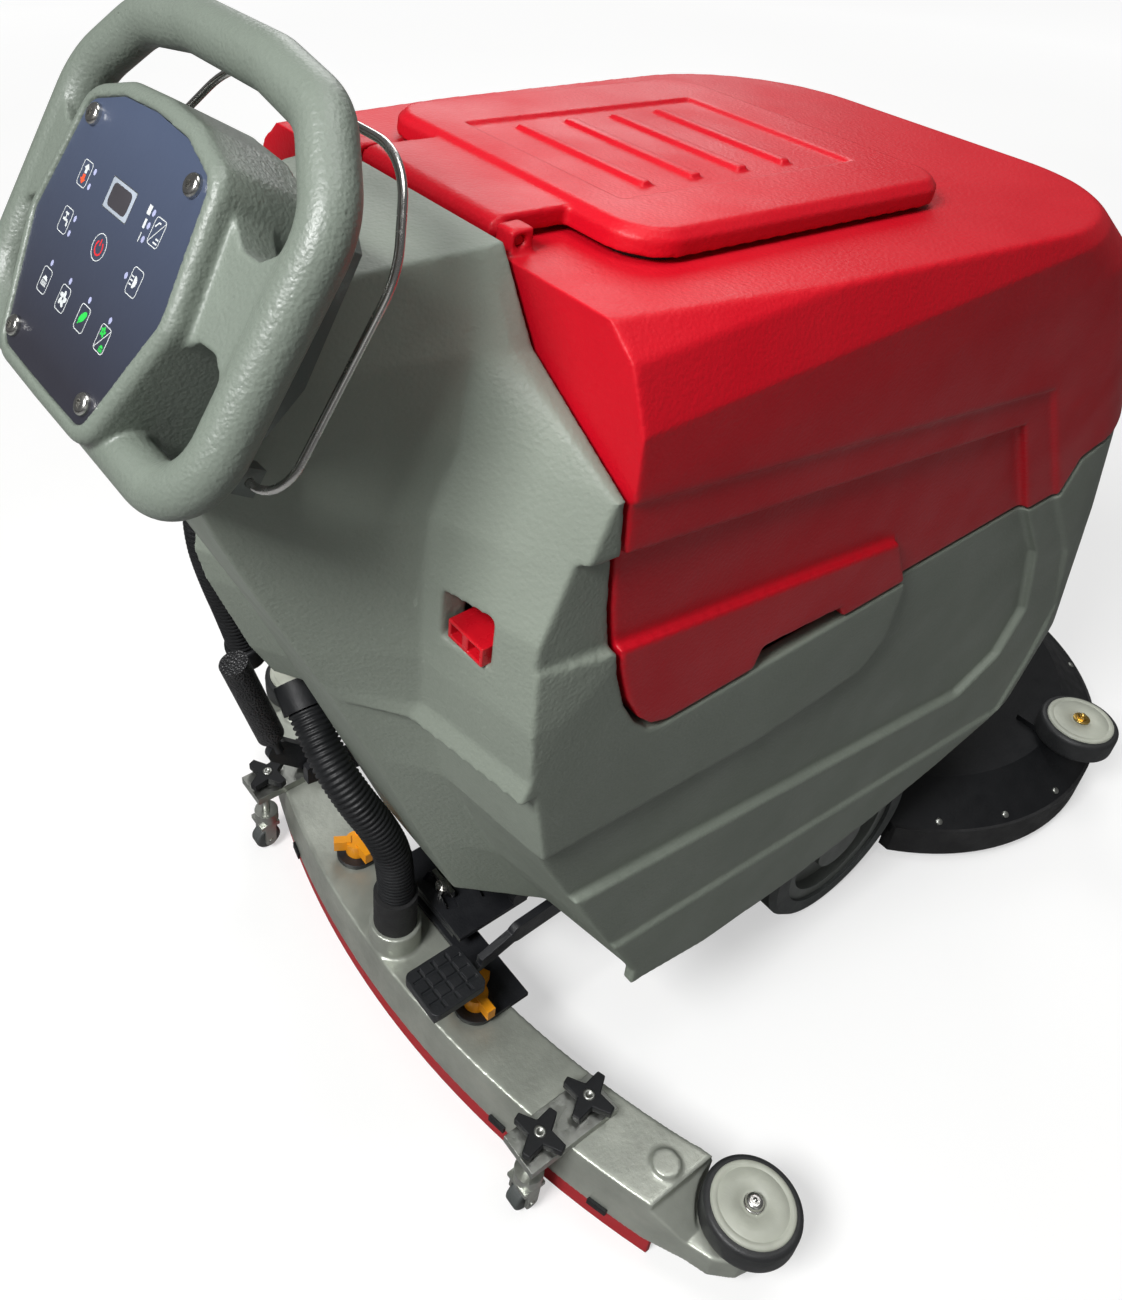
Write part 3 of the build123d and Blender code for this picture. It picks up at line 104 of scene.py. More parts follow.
WHITE = (1.0, 1.0, 1.0, 1.0)

# Grained plastics: colour, lowest and highest roughness, grain scale, grain depth, specular level
GRAINED = {"grey_plastic": ((120, 127, 117), 0.42, 0.6, 330.0, 0.0003, 0.3),
           "dark_grey_plastic": ((84, 90, 86), 0.42, 0.6, 330.0, 0.0003, 0.3),
           # handle grey: a darker copy of the grey plastic, painted shade for a part that faces the key lamp
           "handle_grey": ((104, 112, 103), 0.34, 0.5, 420.0, 0.00034, 0.55),
           "red_plastic": ((180, 6, 26), 0.38, 0.55, 380.0, 0.00022, 0.3)}

# Smooth plastics: colour, lowest and highest roughness, depth of the unevenness
SMOOTH = {"red_gloss": ((190, 16, 30), 0.22, 0.34, 0.0002),
          "black_plastic": ((19, 20, 22), 0.45, 0.6, 0.0002),
          "board_green": ((24, 84, 48), 0.3, 0.45, 0.0002),
          "orange_plastic": ((226, 146, 20), 0.3, 0.45, 0.0002),
          "pale_grey_plastic": ((164, 167, 155), 0.4, 0.55, 0.0002),
          # drive hubs' grey: partly their own darker grey, partly painted shade for the shadow they sit in
          # under the body
          "grey_hub": ((104, 108, 104), 0.4, 0.55, 0.0002),
          "ink_pale": ((186, 190, 190), 0.4, 0.5, 0.00002),
          "ink_bezel": ((150, 158, 168), 0.12, 0.2, 0.00002),
          "ink_screen": ((58, 56, 60), 0.1, 0.18, 0.00002),
          "ink_red": ((196, 40, 44), 0.4, 0.5, 0.00002),
          "ink_green": ((40, 178, 70), 0.4, 0.5, 0.00002),
          "ink_amber": ((224, 78, 44), 0.4, 0.5, 0.00002),
          "ink_lights": ((150, 154, 184), 0.3, 0.4, 0.00002)}

# Rubbers: colour, lowest and highest roughness, depth of the unevenness
RUBBERS = {"black_rubber": ((22, 22, 23), 0.6, 0.8, 0.0004),
           "red_rubber": ((172, 28, 36), 0.5, 0.65, 0.0002),
           # grey tyre: partly its own grey, darkened further as painted shade for the shadow under the body
           "grey_tyre": ((68, 72, 71), 0.5, 0.7, 0.0003),
           "hose_black": ((14, 15, 17), 0.4, 0.55, 0.0002),
           "bristle": ((40, 44, 66), 0.6, 0.8, 0.001),
           "grip_black": ((24, 24, 26), 0.45, 0.6, 0.0004),
           "tyre_black": ((30, 31, 32), 0.45, 0.6, 0.0003)}

# Metals: colour, lowest and highest roughness, depth of the unevenness, metallic share
METALS = {"stainless": ((205, 204, 200), 0.16, 0.3, 0.0001, 1.0),
          "zinc": ((176, 178, 172), 0.28, 0.5, 0.0003, 1.0),
          "silver_cast": ((172, 176, 166), 0.34, 0.48, 0.0003, 0.6),
          "brass": ((206, 172, 96), 0.22, 0.36, 0.0001, 1.0)}

# Panel film: colours at the foot and the head of the panel, painted shade at the foot and a painted bluish
# reflection at the head, and their heights
FILM_FOOT_SHADE, FILM_HEAD_REFLECTION = (38, 38, 46), (64, 74, 95)
FILM_FOOT, FILM_HEAD = 0.86, 0.985

# Nodes whose finish differs a little from their slot's; the handle shell's darker grey is painted shade, as
# the handle faces the key lamp
# the drive hubs' darker grey is partly painted shade for the shadow under the body
FINISH = {"drive_hub_left": "grey_hub", "drive_hub_right": "grey_hub", "lever_grip": "grip_black",
          "handle_shell": "handle_grey"}


def linear(rgb):
    """A colour as the renderer's linear colour."""
    out = []
    for c in rgb:
        c = c / 255
        out.append(c / 12.92 if c <= 0.04045 else ((c + 0.055) / 1.055) ** 2.4)
    return (*out, 1.0)


def shade(rgb, k):
    """A colour made darker or lighter by k."""
    return tuple(min(255.0, c * k) for c in rgb)


class Finish:
    """Node material round one principled shader."""

    def __init__(self, name):
        self.material = bpy.data.materials.new(name)
        self.material.use_nodes = True
        self.tree = self.material.node_tree
        self.shader = self.tree.nodes["Principled BSDF"]
        self.place = self.tree.nodes.new("ShaderNodeTexCoord").outputs["Object"]

    def put(self, **values):
        """Sets inputs of the shader."""
        for key, value in values.items():
            self.shader.inputs[key.replace("_", " ")].default_value = value
        return self

    def node(self, kind, **values):
        n = self.tree.nodes.new(kind)
        for key, value in values.items():
            n.inputs[key].default_value = value
        return n

    def link(self, a, b):
        self.tree.links.new(a, b)

    def stretched(self, scale):
        n = self.node("ShaderNodeMapping", Scale=scale)
        self.link(self.place, n.inputs["Vector"])
        return n.outputs["Vector"]

    def noise(self, scale, detail=2.0, rough=0.5, at=None):
        n = self.node("ShaderNodeTexNoise", Scale=scale, Detail=detail, Roughness=rough)
        self.link(at or self.place, n.inputs["Vector"])
        return n.outputs["Fac"]

    def cells(self, scale, feature="F1"):
        n = self.node("ShaderNodeTexVoronoi", Scale=scale)
        n.feature = feature
        self.link(self.place, n.inputs["Vector"])
        return n.outputs["Distance"]

    def span(self, value, a, b, low, high):
        """Values from a to b brought to the range from low to high."""
        n = self.node("ShaderNodeMapRange")
        for i, v in zip((1, 2, 3, 4), (a, b, low, high)):
            n.inputs[i].default_value = v
        self.link(value, n.inputs[0])
        return n.outputs[0]

    def cloud(self, scale, detail, low=0.0, high=1.0):
        """Noise brought to the range from low to high."""
        return self.span(self.noise(scale, detail), 0.3, 0.7, low, high)

    def mix(self, factor, a, b):
        n = self.node("ShaderNodeMix")
        n.data_type = "RGBA"
        self.link(factor, n.inputs[0])
        for socket, colour in ((n.inputs[6], a), (n.inputs[7], b)):
            if isinstance(colour, tuple):
                socket.default_value = colour
            else:
                self.link(colour, socket)
        return n.outputs[2]

    def calc(self, kind, a, b):
        """Math node of a socket and a second socket or number."""
        n = self.node("ShaderNodeMath")
        n.operation = kind
        self.link(a, n.inputs[0])
        if isinstance(b, float):
            n.inputs[1].default_value = b
        else:
            self.link(b, n.inputs[1])
        return n.outputs[0]

    def colour(self, socket):
        self.link(socket, self.shader.inputs["Base Color"])
        return self

    def rough(self, socket):
        self.link(socket, self.shader.inputs["Roughness"])
        return self

    def bump(self, height, depth):
        n = self.node("ShaderNodeBump", Distance=depth, Strength=1.0)
        self.link(height, n.inputs["Height"])
        self.link(n.outputs["Normal"], self.shader.inputs["Normal"])
        return self


def grained(name, rgb, low, high, grain, depth, specular):
    """Moulded plastic with a leather grain, faint clouding and scuffs."""
    f = Finish(name).put(Specular_IOR_Level=specular)
    base = f.mix(f.cloud(3.2, 3.0), linear(shade(rgb, 0.955)), linear(shade(rgb, 1.035)))
    speck = f.span(f.noise(900.0, 1.0), 0.35, 0.75, 0.0, 1.0)
    base = f.mix(f.calc("MULTIPLY", speck, 0.22), base, linear(shade(rgb, 1.12)))
    streak = f.noise(7.0, 6.0, 0.62, f.stretched((1.0, 5.0, 2.2)))
    base = f.mix(f.span(streak, 0.62, 0.75, 0.0, 0.14), base, linear(shade(rgb, 1.25)))
    f.colour(base)
    f.rough(f.cloud(14.0, 4.0, low, high))
    fine = f.calc("MULTIPLY", f.noise(grain * 2.1, 2.0), 0.5)
    return f.bump(f.calc("ADD", f.cells(grain, "SMOOTH_F1"), fine), depth)


def sheen(f, low, high, depth):
    """Gives a finish a roughness that varies and a faint unevenness."""
    f.rough(f.cloud(60.0, 4.0, low, high))
    return f.bump(f.noise(260.0, 3.0), depth)


def smooth_plastic(name, rgb, low, high, depth):
    f = Finish(name)
    f.colour(f.mix(f.cloud(25.0, 3.0), linear(shade(rgb, 0.93)), linear(shade(rgb, 1.07))))
    return sheen(f, low, high, depth)


def panel_film():
    f = sheen(Finish("panel_film"), 0.28, 0.38, 0.00006).put(Coat_Weight=0.2)
    split = f.node("ShaderNodeSeparateXYZ")
    f.link(f.place, split.inputs["Vector"])
    # Painted reflection: the film's colour runs from painted shade at its foot to a lighter, bluer painted
    # reflection at its head
    rise = f.span(split.outputs["Z"], FILM_FOOT, FILM_HEAD, 0.0, 1.0)
    return f.colour(f.mix(rise, linear(FILM_FOOT_SHADE), linear(FILM_HEAD_REFLECTION)))


def rubber(name, rgb, low, high, depth):
    f = Finish(name)
    dust = f.span(f.noise(18.0, 5.0, 0.65), 0.45, 0.75, 0.0, 0.5)
    f.colour(f.mix(dust, linear(rgb), linear(tuple(c * 0.7 + 34 for c in rgb))))
    f.rough(f.cloud(40.0, 3.0, low, high))
    return f.bump(f.noise(700.0, 2.0), depth)


def painted_steel(name, rgb):
    f = Finish(name)
    worn = f.span(f.noise(30.0, 6.0, 0.7), 0.66, 0.74, 0.0, 0.7)
    f.colour(f.mix(worn, linear(rgb), linear(tuple(c + 34 for c in rgb))))
    f.rough(f.cloud(50.0, 3.0, 0.36, 0.52))
    return f.bump(f.noise(420.0, 2.0), 0.00025)


def metal(name, rgb, low, high, depth, metallic):
    f = Finish(name).put(Metallic=metallic)
    lines = f.noise(160.0, 4.0, 0.6)
    f.colour(f.mix(f.cloud(22.0, 4.0), linear(shade(rgb, 0.9)), linear(shade(rgb, 1.04))))
    f.rough(f.span(lines, 0.3, 0.7, low, high))
    return f.bump(lines, depth)


def clear_window():
    f = Finish("clear_window").put(Transmission_Weight=0.9, IOR=1.46, Roughness=0.06)
    return f.colour(f.mix(f.cloud(90.0, 3.0), linear((214, 218, 220)), linear((238, 240, 240))))


def make_materials():
    m = {}
    for kind, rows in ((grained, GRAINED), (smooth_plastic, SMOOTH), (rubber, RUBBERS), (metal, METALS)):
        for name, row in rows.items():
            m[name] = kind(name, *row)
    m["black_plastic"].put(Specular_IOR_Level=0.32)
    m["hose_black"].put(Specular_IOR_Level=0.34)
    m["grip_black"].bump(m["grip_black"].cells(420.0), 0.0014)
    m["black_steel"] = painted_steel("black_steel", (26, 27, 30))
    m["panel_film"] = panel_film()
    m["clear_window"] = clear_window()
    return {key: f.material for key, f in m.items()}


def dress_nodes(materials):
    for name, slot in SLOTS.items():
        node = NODES[name]
        if not node.data.materials:
            node.data.materials.append(materials[slot])
        for s in node.material_slots:
            s.material = materials[FINISH.get(name, slot)]


# Mesh pieces

def piece(name, verts, faces, material, smooth=True):
    mesh = bpy.data.meshes.new(name)
    mesh.from_pydata([tuple(v) for v in verts], [], faces)
    mesh.validate()
    mesh.update()
    mesh.materials.append(material)
    for p in mesh.polygons:
        p.use_smooth = smooth
    obj = bpy.data.objects.new(name, mesh)
    scene.collection.objects.link(obj)
    return obj


def evaluated_mesh(obj):
    bpy.context.view_layer.update()
    return bpy.data.meshes.new_from_object(obj.evaluated_get(bpy.context.evaluated_depsgraph_get()))


def settle(obj):
    """Applies the object's modifiers."""
    mesh = evaluated_mesh(obj)
    obj.modifiers.clear()
    obj.data = mesh
    return obj


def adopt(obj, node):
    """The piece stands for a node and moves with its body."""
    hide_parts(node)
    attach(obj, NODES[node]["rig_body"])
    return obj


def ring(centre, side, other, r, sides):
    """Points of a circle round a centre."""
    turns = [2 * math.pi * k / sides for k in range(sides)]
    return [centre + side * (r * math.cos(t)) + other * (r * math.sin(t)) for t in turns]


def tube(name, rings, material):
    """Closed piece through a row of rings."""
    sides = len(rings[0])
    last = (len(rings) - 1) * sides
    faces = []
    for start in range(0, last, sides):
        for k in range(sides):
            a, b = start + k, start + (k + 1) % sides
            faces.append((a, b, b + sides, a + sides))
    faces.append(tuple(reversed(range(sides))))
    faces.append(tuple(range(last, last + sides)))
    return piece(name, [v for row in rings for v in row], faces, material)


def swept(name, centres, radii, side, material, sides):
    """Round bar along a row of centres, with a radius at each."""
    rings = []
    last = len(centres) - 1
    for i, (c, r) in enumerate(zip(centres, radii)):
        way = (centres[min(i + 1, last)] - centres[max(i - 1, 0)]).normalized()
        side = (side - way * side.dot(way)).normalized()
        rings.append(ring(c, side, way.cross(side), r, sides))
    return tube(name, rings, material)


def turned(name, profile, origin, way, material, sides=40):
    """Solid of revolution: profile of (distance along way, radius) from origin."""
    way = Vector(way).normalized()
    side = way.orthogonal().normalized()
    other = way.cross(side)
    rings = [ring(Vector(origin) + way * along, side, other, r, sides) for along, r in profile]
    return tube(name, rings, material)


# Mouldings: voxel size, rounds of smoothing, share of the faces kept
SKINS = {"solution_tank": (0.0020, 8, 0.09), "recovery_tank": (0.0020, 8, 0.12),
         "recovery_lid": (0.0016, 5, 0.28), "handle_shell": (0.0013, 12, 0.22),
         "squeegee_body": (0.0018, 3, 0.35)}

# Widths of the broken edges
WING_EASE, STAR_EASE, STEEL_EASE = 0.0016, 0.0012, 0.0008
OTHER_EASES = {"handle_cover": 0.003, "charge_connector": 0.0012, "control_panel": 0.0004}
STEEL_NODES = ("foot_pedal", "squeegee_bracket", "squeegee_arm", "caster_brackets", "lift_lever",
               "tank_hinges")

MERGE_DISTANCE = 1e-5
FLAT_ANGLE = math.radians(1)
HARD_ANGLE = math.radians(30)
SHARP_ANGLE = math.radians(38)


def softened(node, voxel, rounds, ratio):
    """Copy of a moulding with its edges rounded as a mould leaves them."""
    obj = bpy.data.objects.new(node + "_skin", NODES[node].data.copy())
    scene.collection.objects.link(obj)
    remesh = obj.modifiers.new("remesh", "REMESH")
    remesh.mode = "VOXEL"
    remesh.voxel_size = voxel
    remesh.use_smooth_shade = True
    smooth = obj.modifiers.new("smooth", "SMOOTH")
    smooth.factor = 0.5
    smooth.iterations = rounds
    thin = obj.modifiers.new("thin", "DECIMATE")
    thin.ratio = ratio
    settle(obj)
    for p in obj.data.polygons:
        p.use_smooth = True
    adopt(obj, node)


def eased(node, width):
    """Copy of a node with its hard edges broken."""
    mesh = NODES[node].data.copy()
    work = bmesh.new()
    work.from_mesh(mesh)
    bmesh.ops.remove_doubles(work, verts=work.verts, dist=MERGE_DISTANCE)
    bmesh.ops.dissolve_limit(work, angle_limit=FLAT_ANGLE, verts=work.verts, edges=work.edges)
    hard = [e for e in work.edges if len(e.link_faces) == 2 and e.calc_face_angle(0.0) > HARD_ANGLE]
    bmesh.ops.bevel(work, geom=hard, offset=width, segments=2, profile=0.5, affect="EDGES",
                    clamp_overlap=True)
    work.to_mesh(mesh)
    work.free()
    for p in mesh.polygons:
        p.use_smooth = True
    mesh.set_sharp_from_angle(angle=SHARP_ANGLE)
    obj = bpy.data.objects.new(node + "_eased", mesh)
    scene.collection.objects.link(obj)
    weigh = obj.modifiers.new("weigh", "WEIGHTED_NORMAL")
    weigh.keep_sharp = True
    adopt(settle(obj), node)


def soften_mouldings():
    for node, row in SKINS.items():
        softened(node, *row)
    for side, _ in SIDES:
        eased("wing_knob_" + side, WING_EASE)
        for place in ("front", "rear"):
            eased("star_knob_" + place + "_" + side, STAR_EASE)
    for node in STEEL_NODES:
        eased(node, STEEL_EASE)
    for node, width in OTHER_EASES.items():
        eased(node, width)


# Hoses, each along a spline through its route's points

VACUUM_HOSE = [(-0.412, 0, 0.178), (-0.412, 0, 0.228), (-0.425, 0.007, 0.276),
               (-0.444, 0.026, 0.318), (-0.453, 0.058, 0.352), (-0.450, 0.095, 0.380)]
VACUUM_RADIUS, VACUUM_GROOVE = 0.019, 0.0026
DRAIN_HOSE = [(-0.447, 0.186, 0.668), (-0.476, 0.187, 0.631), (-0.490, 0.190, 0.586), (-0.491, 0.193, 0.536),
              (-0.481, 0.197, 0.484), (-0.468, 0.200, 0.432), (-0.458, 0.201, 0.384)]
DRAIN_RADIUS, DRAIN_GROOVE = 0.017, 0.0022
DRAIN_CAP = [(-0.004, 0.0172), (-0.004, 0.0192), (0.0, 0.0198), (0.018, 0.0198), (0.0215, 0.018),
             (0.022, 0.008), (0.0225, 0.0015)]
RIB_PITCH = 0.0052
RIB_SHAPE = (1.0, 0.25, 0.0, 0.25)  # share of the groove's depth along one rib
HOSE_SIDES = 28


def spline_points(points):
    """Points along the NURBS spline of a route."""
    data = bpy.data.curves.new("route", "CURVE")
    data.dimensions = "3D"
    data.resolution_u = 64
    spline = data.splines.new("NURBS")
    spline.points.add(len(points) - 1)
    for p, co in zip(spline.points, points):
        p.co = (*co, 1.0)
    spline.order_u = 3
    spline.use_endpoint_u = True
    route = bpy.data.objects.new("route", data)
    scene.collection.objects.link(route)
    mesh = evaluated_mesh(route)
    line = np.array([v.co for v in mesh.vertices])
    bpy.data.objects.remove(route)
    bpy.data.meshes.remove(mesh)
    bpy.data.curves.remove(data)
    return line


def ribbed_hose(name, points, radius, groove, material):
    """Corrugated hose along a route, with its path and length."""
    line = spline_points(points)
    reach = np.concatenate([[0], np.cumsum(np.linalg.norm(np.diff(line, axis=0), axis=1))])
    length = reach[-1]
    per = len(RIB_SHAPE)
    at = np.linspace(0, length, int(round(length / RIB_PITCH)) * per + 1)
    path = np.stack([np.interp(at, reach, line[:, i]) for i in range(3)], axis=1)
    radii = [radius - groove * RIB_SHAPE[i % per] for i in range(len(path))]
    hose = swept(name, [Vector(c) for c in path], radii, Vector((0, 1, 0)), material, HOSE_SIDES)
    return hose, path[::per], length


def add_hoses(m):
    hose, path, length = ribbed_hose("vacuum_hose_ribbed", VACUUM_HOSE, VACUUM_RADIUS, VACUUM_GROOVE,
                                     m["hose_black"])
    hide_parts("vacuum_hose")
    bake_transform(hose)
    drain, path, length = ribbed_hose("drain_hose_ribbed", DRAIN_HOSE, DRAIN_RADIUS, DRAIN_GROOVE,
                                      m["hose_black"])
    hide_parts("drain_hose")
    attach(drain, "chassis")
    end = Vector(DRAIN_HOSE[-1])
    way = end - Vector(DRAIN_HOSE[-2])
    cap = turned("drain_cap", DRAIN_CAP, end, way, m["black_plastic"])
    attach(cap, "chassis")


# Panel, in millimetres on its face: x to the right, y up the slope

TILT = math.radians(56.7)
PANEL_ORIGIN = Vector((-0.6114, 0.0, 0.920))
PANEL_UP = Vector((math.cos(TILT), 0.0, math.sin(TILT)))
PANEL_OUT = Vector((-math.sin(TILT), 0.0, math.cos(TILT)))
KEYS = [(-46, 27.5), (-46, -0.8), (46.8, 27.4), (46.6, -0.7), (-40.8, -36.2), (-13.7, -36.2),
        (13.5, -36.2), (40.6, -36.2)]
SPOTS = [(-36, 31.8), (-36, 23.0), (-36, 3.6), (-36, -5.2), (36.9, 34.5), (37.0, 27.5), (37.1, 19.9),
         (36.6, -0.9), (-40.4, -25.3), (-13.3, -25.4), (13.5, -25.3), (40.6, -25.4)]
LEVEL_BARS = ((31.9, 34.5, 3.6), (32.6, 27.2, 2.2), (33.2, 19.8, 0.9))
LINE = 0.5
INK_FOOT, INK_TOP = -0.1, 0.12
DISPLAY = (0, 28.5)
BEZEL_TOP, SCREEN_TOP = 0.1, 0.2

# Bail: its right half on the panel's axes, its depth behind the face, and its bends
BAIL_HALF = [(84, -74), (129, -74), (129, 66), (92, 120)]
BAIL_LIFT = -84.0
BAIL_BENDS = [0.030, 0.055, 0.052, 0.052, 0.055, 0.030]
BAIL_RADIUS = 0.0027
BAIL_SIDES = 14


def on_panel(x, y, lift):
    return PANEL_ORIGIN + Vector((0, -x, 0)) / 1000 + PANEL_UP * (y / 1000) + PANEL_OUT * (lift / 1000)


def stroke(points, width, closed=False):
    """Line drawn as a row of thin quads."""
    quads = []
    ends = points[1:] + points[:1] if closed else points[1:]
    for (ax, ay), (bx, by) in zip(points, ends):
        length = math.hypot(bx - ax, by - ay)
        nx, ny = (ay - by) / length * width / 2, (bx - ax) / length * width / 2
        quads.append([(ax - nx, ay - ny), (bx - nx, by - ny), (bx + nx, by + ny), (ax + nx, ay + ny)])
    return quads


def oval(x, y, rx, ry, turn=0.0, start=0.0, sweep=360.0, count=20):
    """Points of an ellipse, or of a part of one."""
    points = []
    c, s = math.cos(math.radians(turn)), math.sin(math.radians(turn))
    for i in range(count if sweep >= 360.0 else count + 1):
        t = math.radians(start + sweep * i / count)
        px, py = rx * math.cos(t), ry * math.sin(t)
        points.append((x + px * c - py * s, y + px * s + py * c))
    return points


def frame_mark(x, y, wide=11.4, tall=14.6, r=2.2):
    """Rounded outline of a key or of the display."""
    points = []
    for cx, cy, start in ((1, 1, 0), (-1, 1, 90), (-1, -1, 180), (1, -1, 270)):
        middle = (x + cx * (wide / 2 - r), y + cy * (tall / 2 - r))
        points += oval(*middle, r, r, 0.0, start, 90.0, 4)
    return points


def arrow(x, y, k):
    """Short arrow pointing up for k = 1 and down for k = -1."""
    return [(x - 1.4, y - 2.6 * k), (x + 1.4, y - 2.6 * k), (x + 1.4, y), (x + 3.2, y), (x, y + 3.0 * k),
            (x - 3.2, y), (x - 1.4, y)][::k]


def fan(x, y, r):
    """Five blades round a middle."""
    blades = []
    for i in range(5):
        t = 2 * math.pi * i / 5
        middle = (x + 0.55 * r * math.cos(t), y + 0.55 * r * math.sin(t))
        blades.append(oval(*middle, 0.48 * r, 0.27 * r, math.degrees(t) + 35))
    return blades


def brush_mark(x, y):
    """Brush: a body with bristles under it."""
    parts = [[(x - 3.4, y), (x + 3.4, y), (x + 1.2, y + 2.4), (x - 1.2, y + 2.4)]]
    for i in (-2, -1, 0, 1, 2):
        parts += stroke([(x + 1.4 * i, y - 3.6), (x + 1.4 * i, y - 0.6)], 0.8)
    return parts


def panel_marks():
    """Outlines of the panel's pictograms, by colour."""
    pale, red, green, amber = [], [], [], []
    for x, y in KEYS:
        pale += stroke(frame_mark(x, y), LINE, True)
    # travel, water, power
    pale.append(arrow(-46, 30.4, 1))
    amber.append(arrow(-46, 24.6, -1))
    pale += stroke([(-49.2, -0.4), (-43.4, -0.4), (-43.0, -3.6)], 1.5)
    pale += stroke([(-46.6, -0.4), (-46.6, 3.0)], 1.1)
    pale += stroke([(-48.6, 3.2), (-44.6, 3.2)], 1.3)
    pale += stroke(oval(0, 0.6, 7.6, 7.6, count=28), LINE, True)
    red += stroke(oval(0, 0.2, 4.0, 4.0, 0.0, 125.0, 290.0), 1.1) + stroke([(0, 1.4), (0, 5.4)], 1.1)
    # water level bars, split key, lamp
    for x, y, wide in LEVEL_BARS:
        pale.append([(x - wide / 2, y - 2.6), (x + wide / 2, y - 2.6), (x + wide / 2, y + 2.6),
                     (x - wide / 2, y + 2.6)])
    pale += stroke([(41.6, 20.8), (52.0, 34.0)], LINE)
    pale += stroke([(43.0, 29.4), (45.2, 32.2), (47.4, 32.2)], 0.9)
    pale += stroke([(46.8, 22.2), (51.0, 22.2)], 0.9) + stroke([(48.2, 24.4), (51.2, 24.4)], 0.9)
    pale.append(oval(45.4, -0.7, 3.4, 3.4, 0.0, -90.0, 180.0))
    for i in (-1, 0, 1):
        pale += stroke([(41.8, -0.7 + 2.2 * i), (44.6, -0.7 + 2.2 * i)], 0.8)
    # lower row: brush, fan, leaf, fan with brush
    pale += brush_mark(-40.8, -36.0)
    pale += fan(-13.7, -36.2, 5.0)
    green.append(oval(13.7, -35.4, 4.6, 2.3, 48.0))
    green += stroke([(10.6, -40.2), (12.6, -37.4)], 0.9)
    pale += stroke([(35.4, -42.8), (45.8, -29.6)], LINE)
    green += fan(38.6, -32.8, 3.1)
    green += [[(x * 0.62 + 42.9, y * 0.62 - 40.4) for x, y in part] for part in brush_mark(0, 0)]
    lights = [oval(x, y, 1.5, 1.9) for x, y in SPOTS]
    return {"pale": pale, "red": red, "green": green, "amber": amber, "lights": lights}


def inked(name, parts, low, high, material):
    """Thin closed plates on the panel, from outlines."""
    verts, faces = [], []
    for part in parts:
        first, count = len(verts), len(part)
        verts += [on_panel(x, y, low) for x, y in part] + [on_panel(x, y, high) for x, y in part]
        faces.append(tuple(reversed(range(first, first + count))))
        faces.append(tuple(range(first + count, first + 2 * count)))
        for i in range(count):
            a, b = first + i, first + (i + 1) % count
            faces.append((a, b, b + count, a + count))
    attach(piece(name, verts, faces, material, False), "chassis")


def add_marks(m):
    for key, parts in panel_marks().items():
        inked("panel_" + key, parts, INK_FOOT, INK_TOP, m["ink_" + key])
    # display: a dark screen in a pale bezel
    inked("display_bezel", [frame_mark(*DISPLAY, 29.0, 17.0, 1.2)], INK_FOOT, BEZEL_TOP, m["ink_bezel"])
    inked("display_screen", [frame_mark(*DISPLAY, 23.0, 13.4, 3.4)], INK_FOOT, SCREEN_TOP, m["ink_screen"])


def bent(points, radii, count=10):
    """Centres along a polyline whose inner corners are rounded."""
    line = [points[0]]
    for before, corner, after, r in zip(points, points[1:], points[2:], radii):
        a = (before - corner).normalized()
        b = (after - corner).normalized()
        half = a.angle(b) / 2
        start = corner + a * (r / math.tan(half))
        middle = corner + (a + b).normalized() * (r / math.sin(half))
        turn = math.pi - 2 * half
        axis = (start - middle).cross(-a).normalized()
        for i in range(count + 1):
            line.append(middle + Matrix.Rotation(turn * i / count, 3, axis) @ (start - middle))
    return line + [points[-1]]


def add_bail(m):
    """Wire behind the hand ring, with easy bends."""
    route = BAIL_HALF + [(-x, y) for x, y in reversed(BAIL_HALF)]
    line = bent([on_panel(x, y, BAIL_LIFT) for x, y in route], BAIL_BENDS)
    radii = [BAIL_RADIUS] * len(line)
    adopt(swept("bail_wire", line, radii, Vector(UPWARD), m["stainless"], BAIL_SIDES), "bail_lever")


# Small fittings

END_ROLLER_X, END_ROLLER_Y, END_ROLLER_TOP = -0.299, 0.390, 0.097
END_BOLT_FOOT, END_BOLT_R = 0.0965, 0.0052
DECK_ROLLER_X, DECK_ROLLER_Y, DECK_ROLLER_TOP = 0.435, -0.245, 0.132
DECK_BOLT_FOOT, DECK_BOLT_R = 0.1325, 0.0055
BOLT_TALL = 0.005
ROLLER_HEIGHT = 0.032
ROLLER_SIDES = 64
DISC = [(0.0, 0.008), (0.0, 0.0372), (0.0306, 0.0372), (0.032, 0.0360), (0.032, 0.0318), (0.0314, 0.0312),
        (0.0314, 0.0306), (0.032, 0.03), (0.032, 0.0125), (0.0302, 0.0115), (0.0302, 0.008)]
TYRE = [(0.0, 0.0370), (0.0004, 0.0415), (0.0026, 0.0438), (0.006, 0.044), (0.0235, 0.044),
        (0.0268, 0.0434), (0.0287, 0.0416), (0.0292, 0.0395), (0.0290, 0.0370)]
STAR_X = {"front": -0.366, "rear": -0.424}
STAR_Y, STAR_TOP, INSERT_R = 0.246, 0.1243, 0.0055

# Bolts round the deck's rim, with the place of the one under the roller left free
RIM_COUNT, RIM_FREE, RIM_START = 20, 3, -126
RIM_X, RIM_RADIUS, RIM_Z = 0.380, 0.270, 0.0605
RIM_LEAN, RIM_RISE = 0.58, 0.81
RIM_BOLT = [(-0.002, 0.0042), (0.0022, 0.0042), (0.0032, 0.0034), (0.0033, 0.0002)]


def bumper_roller(node, x, y, top, m):
    """Pale disc with a groove in its face and a black tyre round it."""
    foot = (x, y, top - ROLLER_HEIGHT)
    adopt(turned(node + "_disc", DISC, foot, UPWARD, m["pale_grey_plastic"], ROLLER_SIDES), node)
    tyre = turned(node + "_tyre", TYRE, foot, UPWARD, m["tyre_black"], ROLLER_SIDES)
    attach(tyre, NODES[node]["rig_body"])


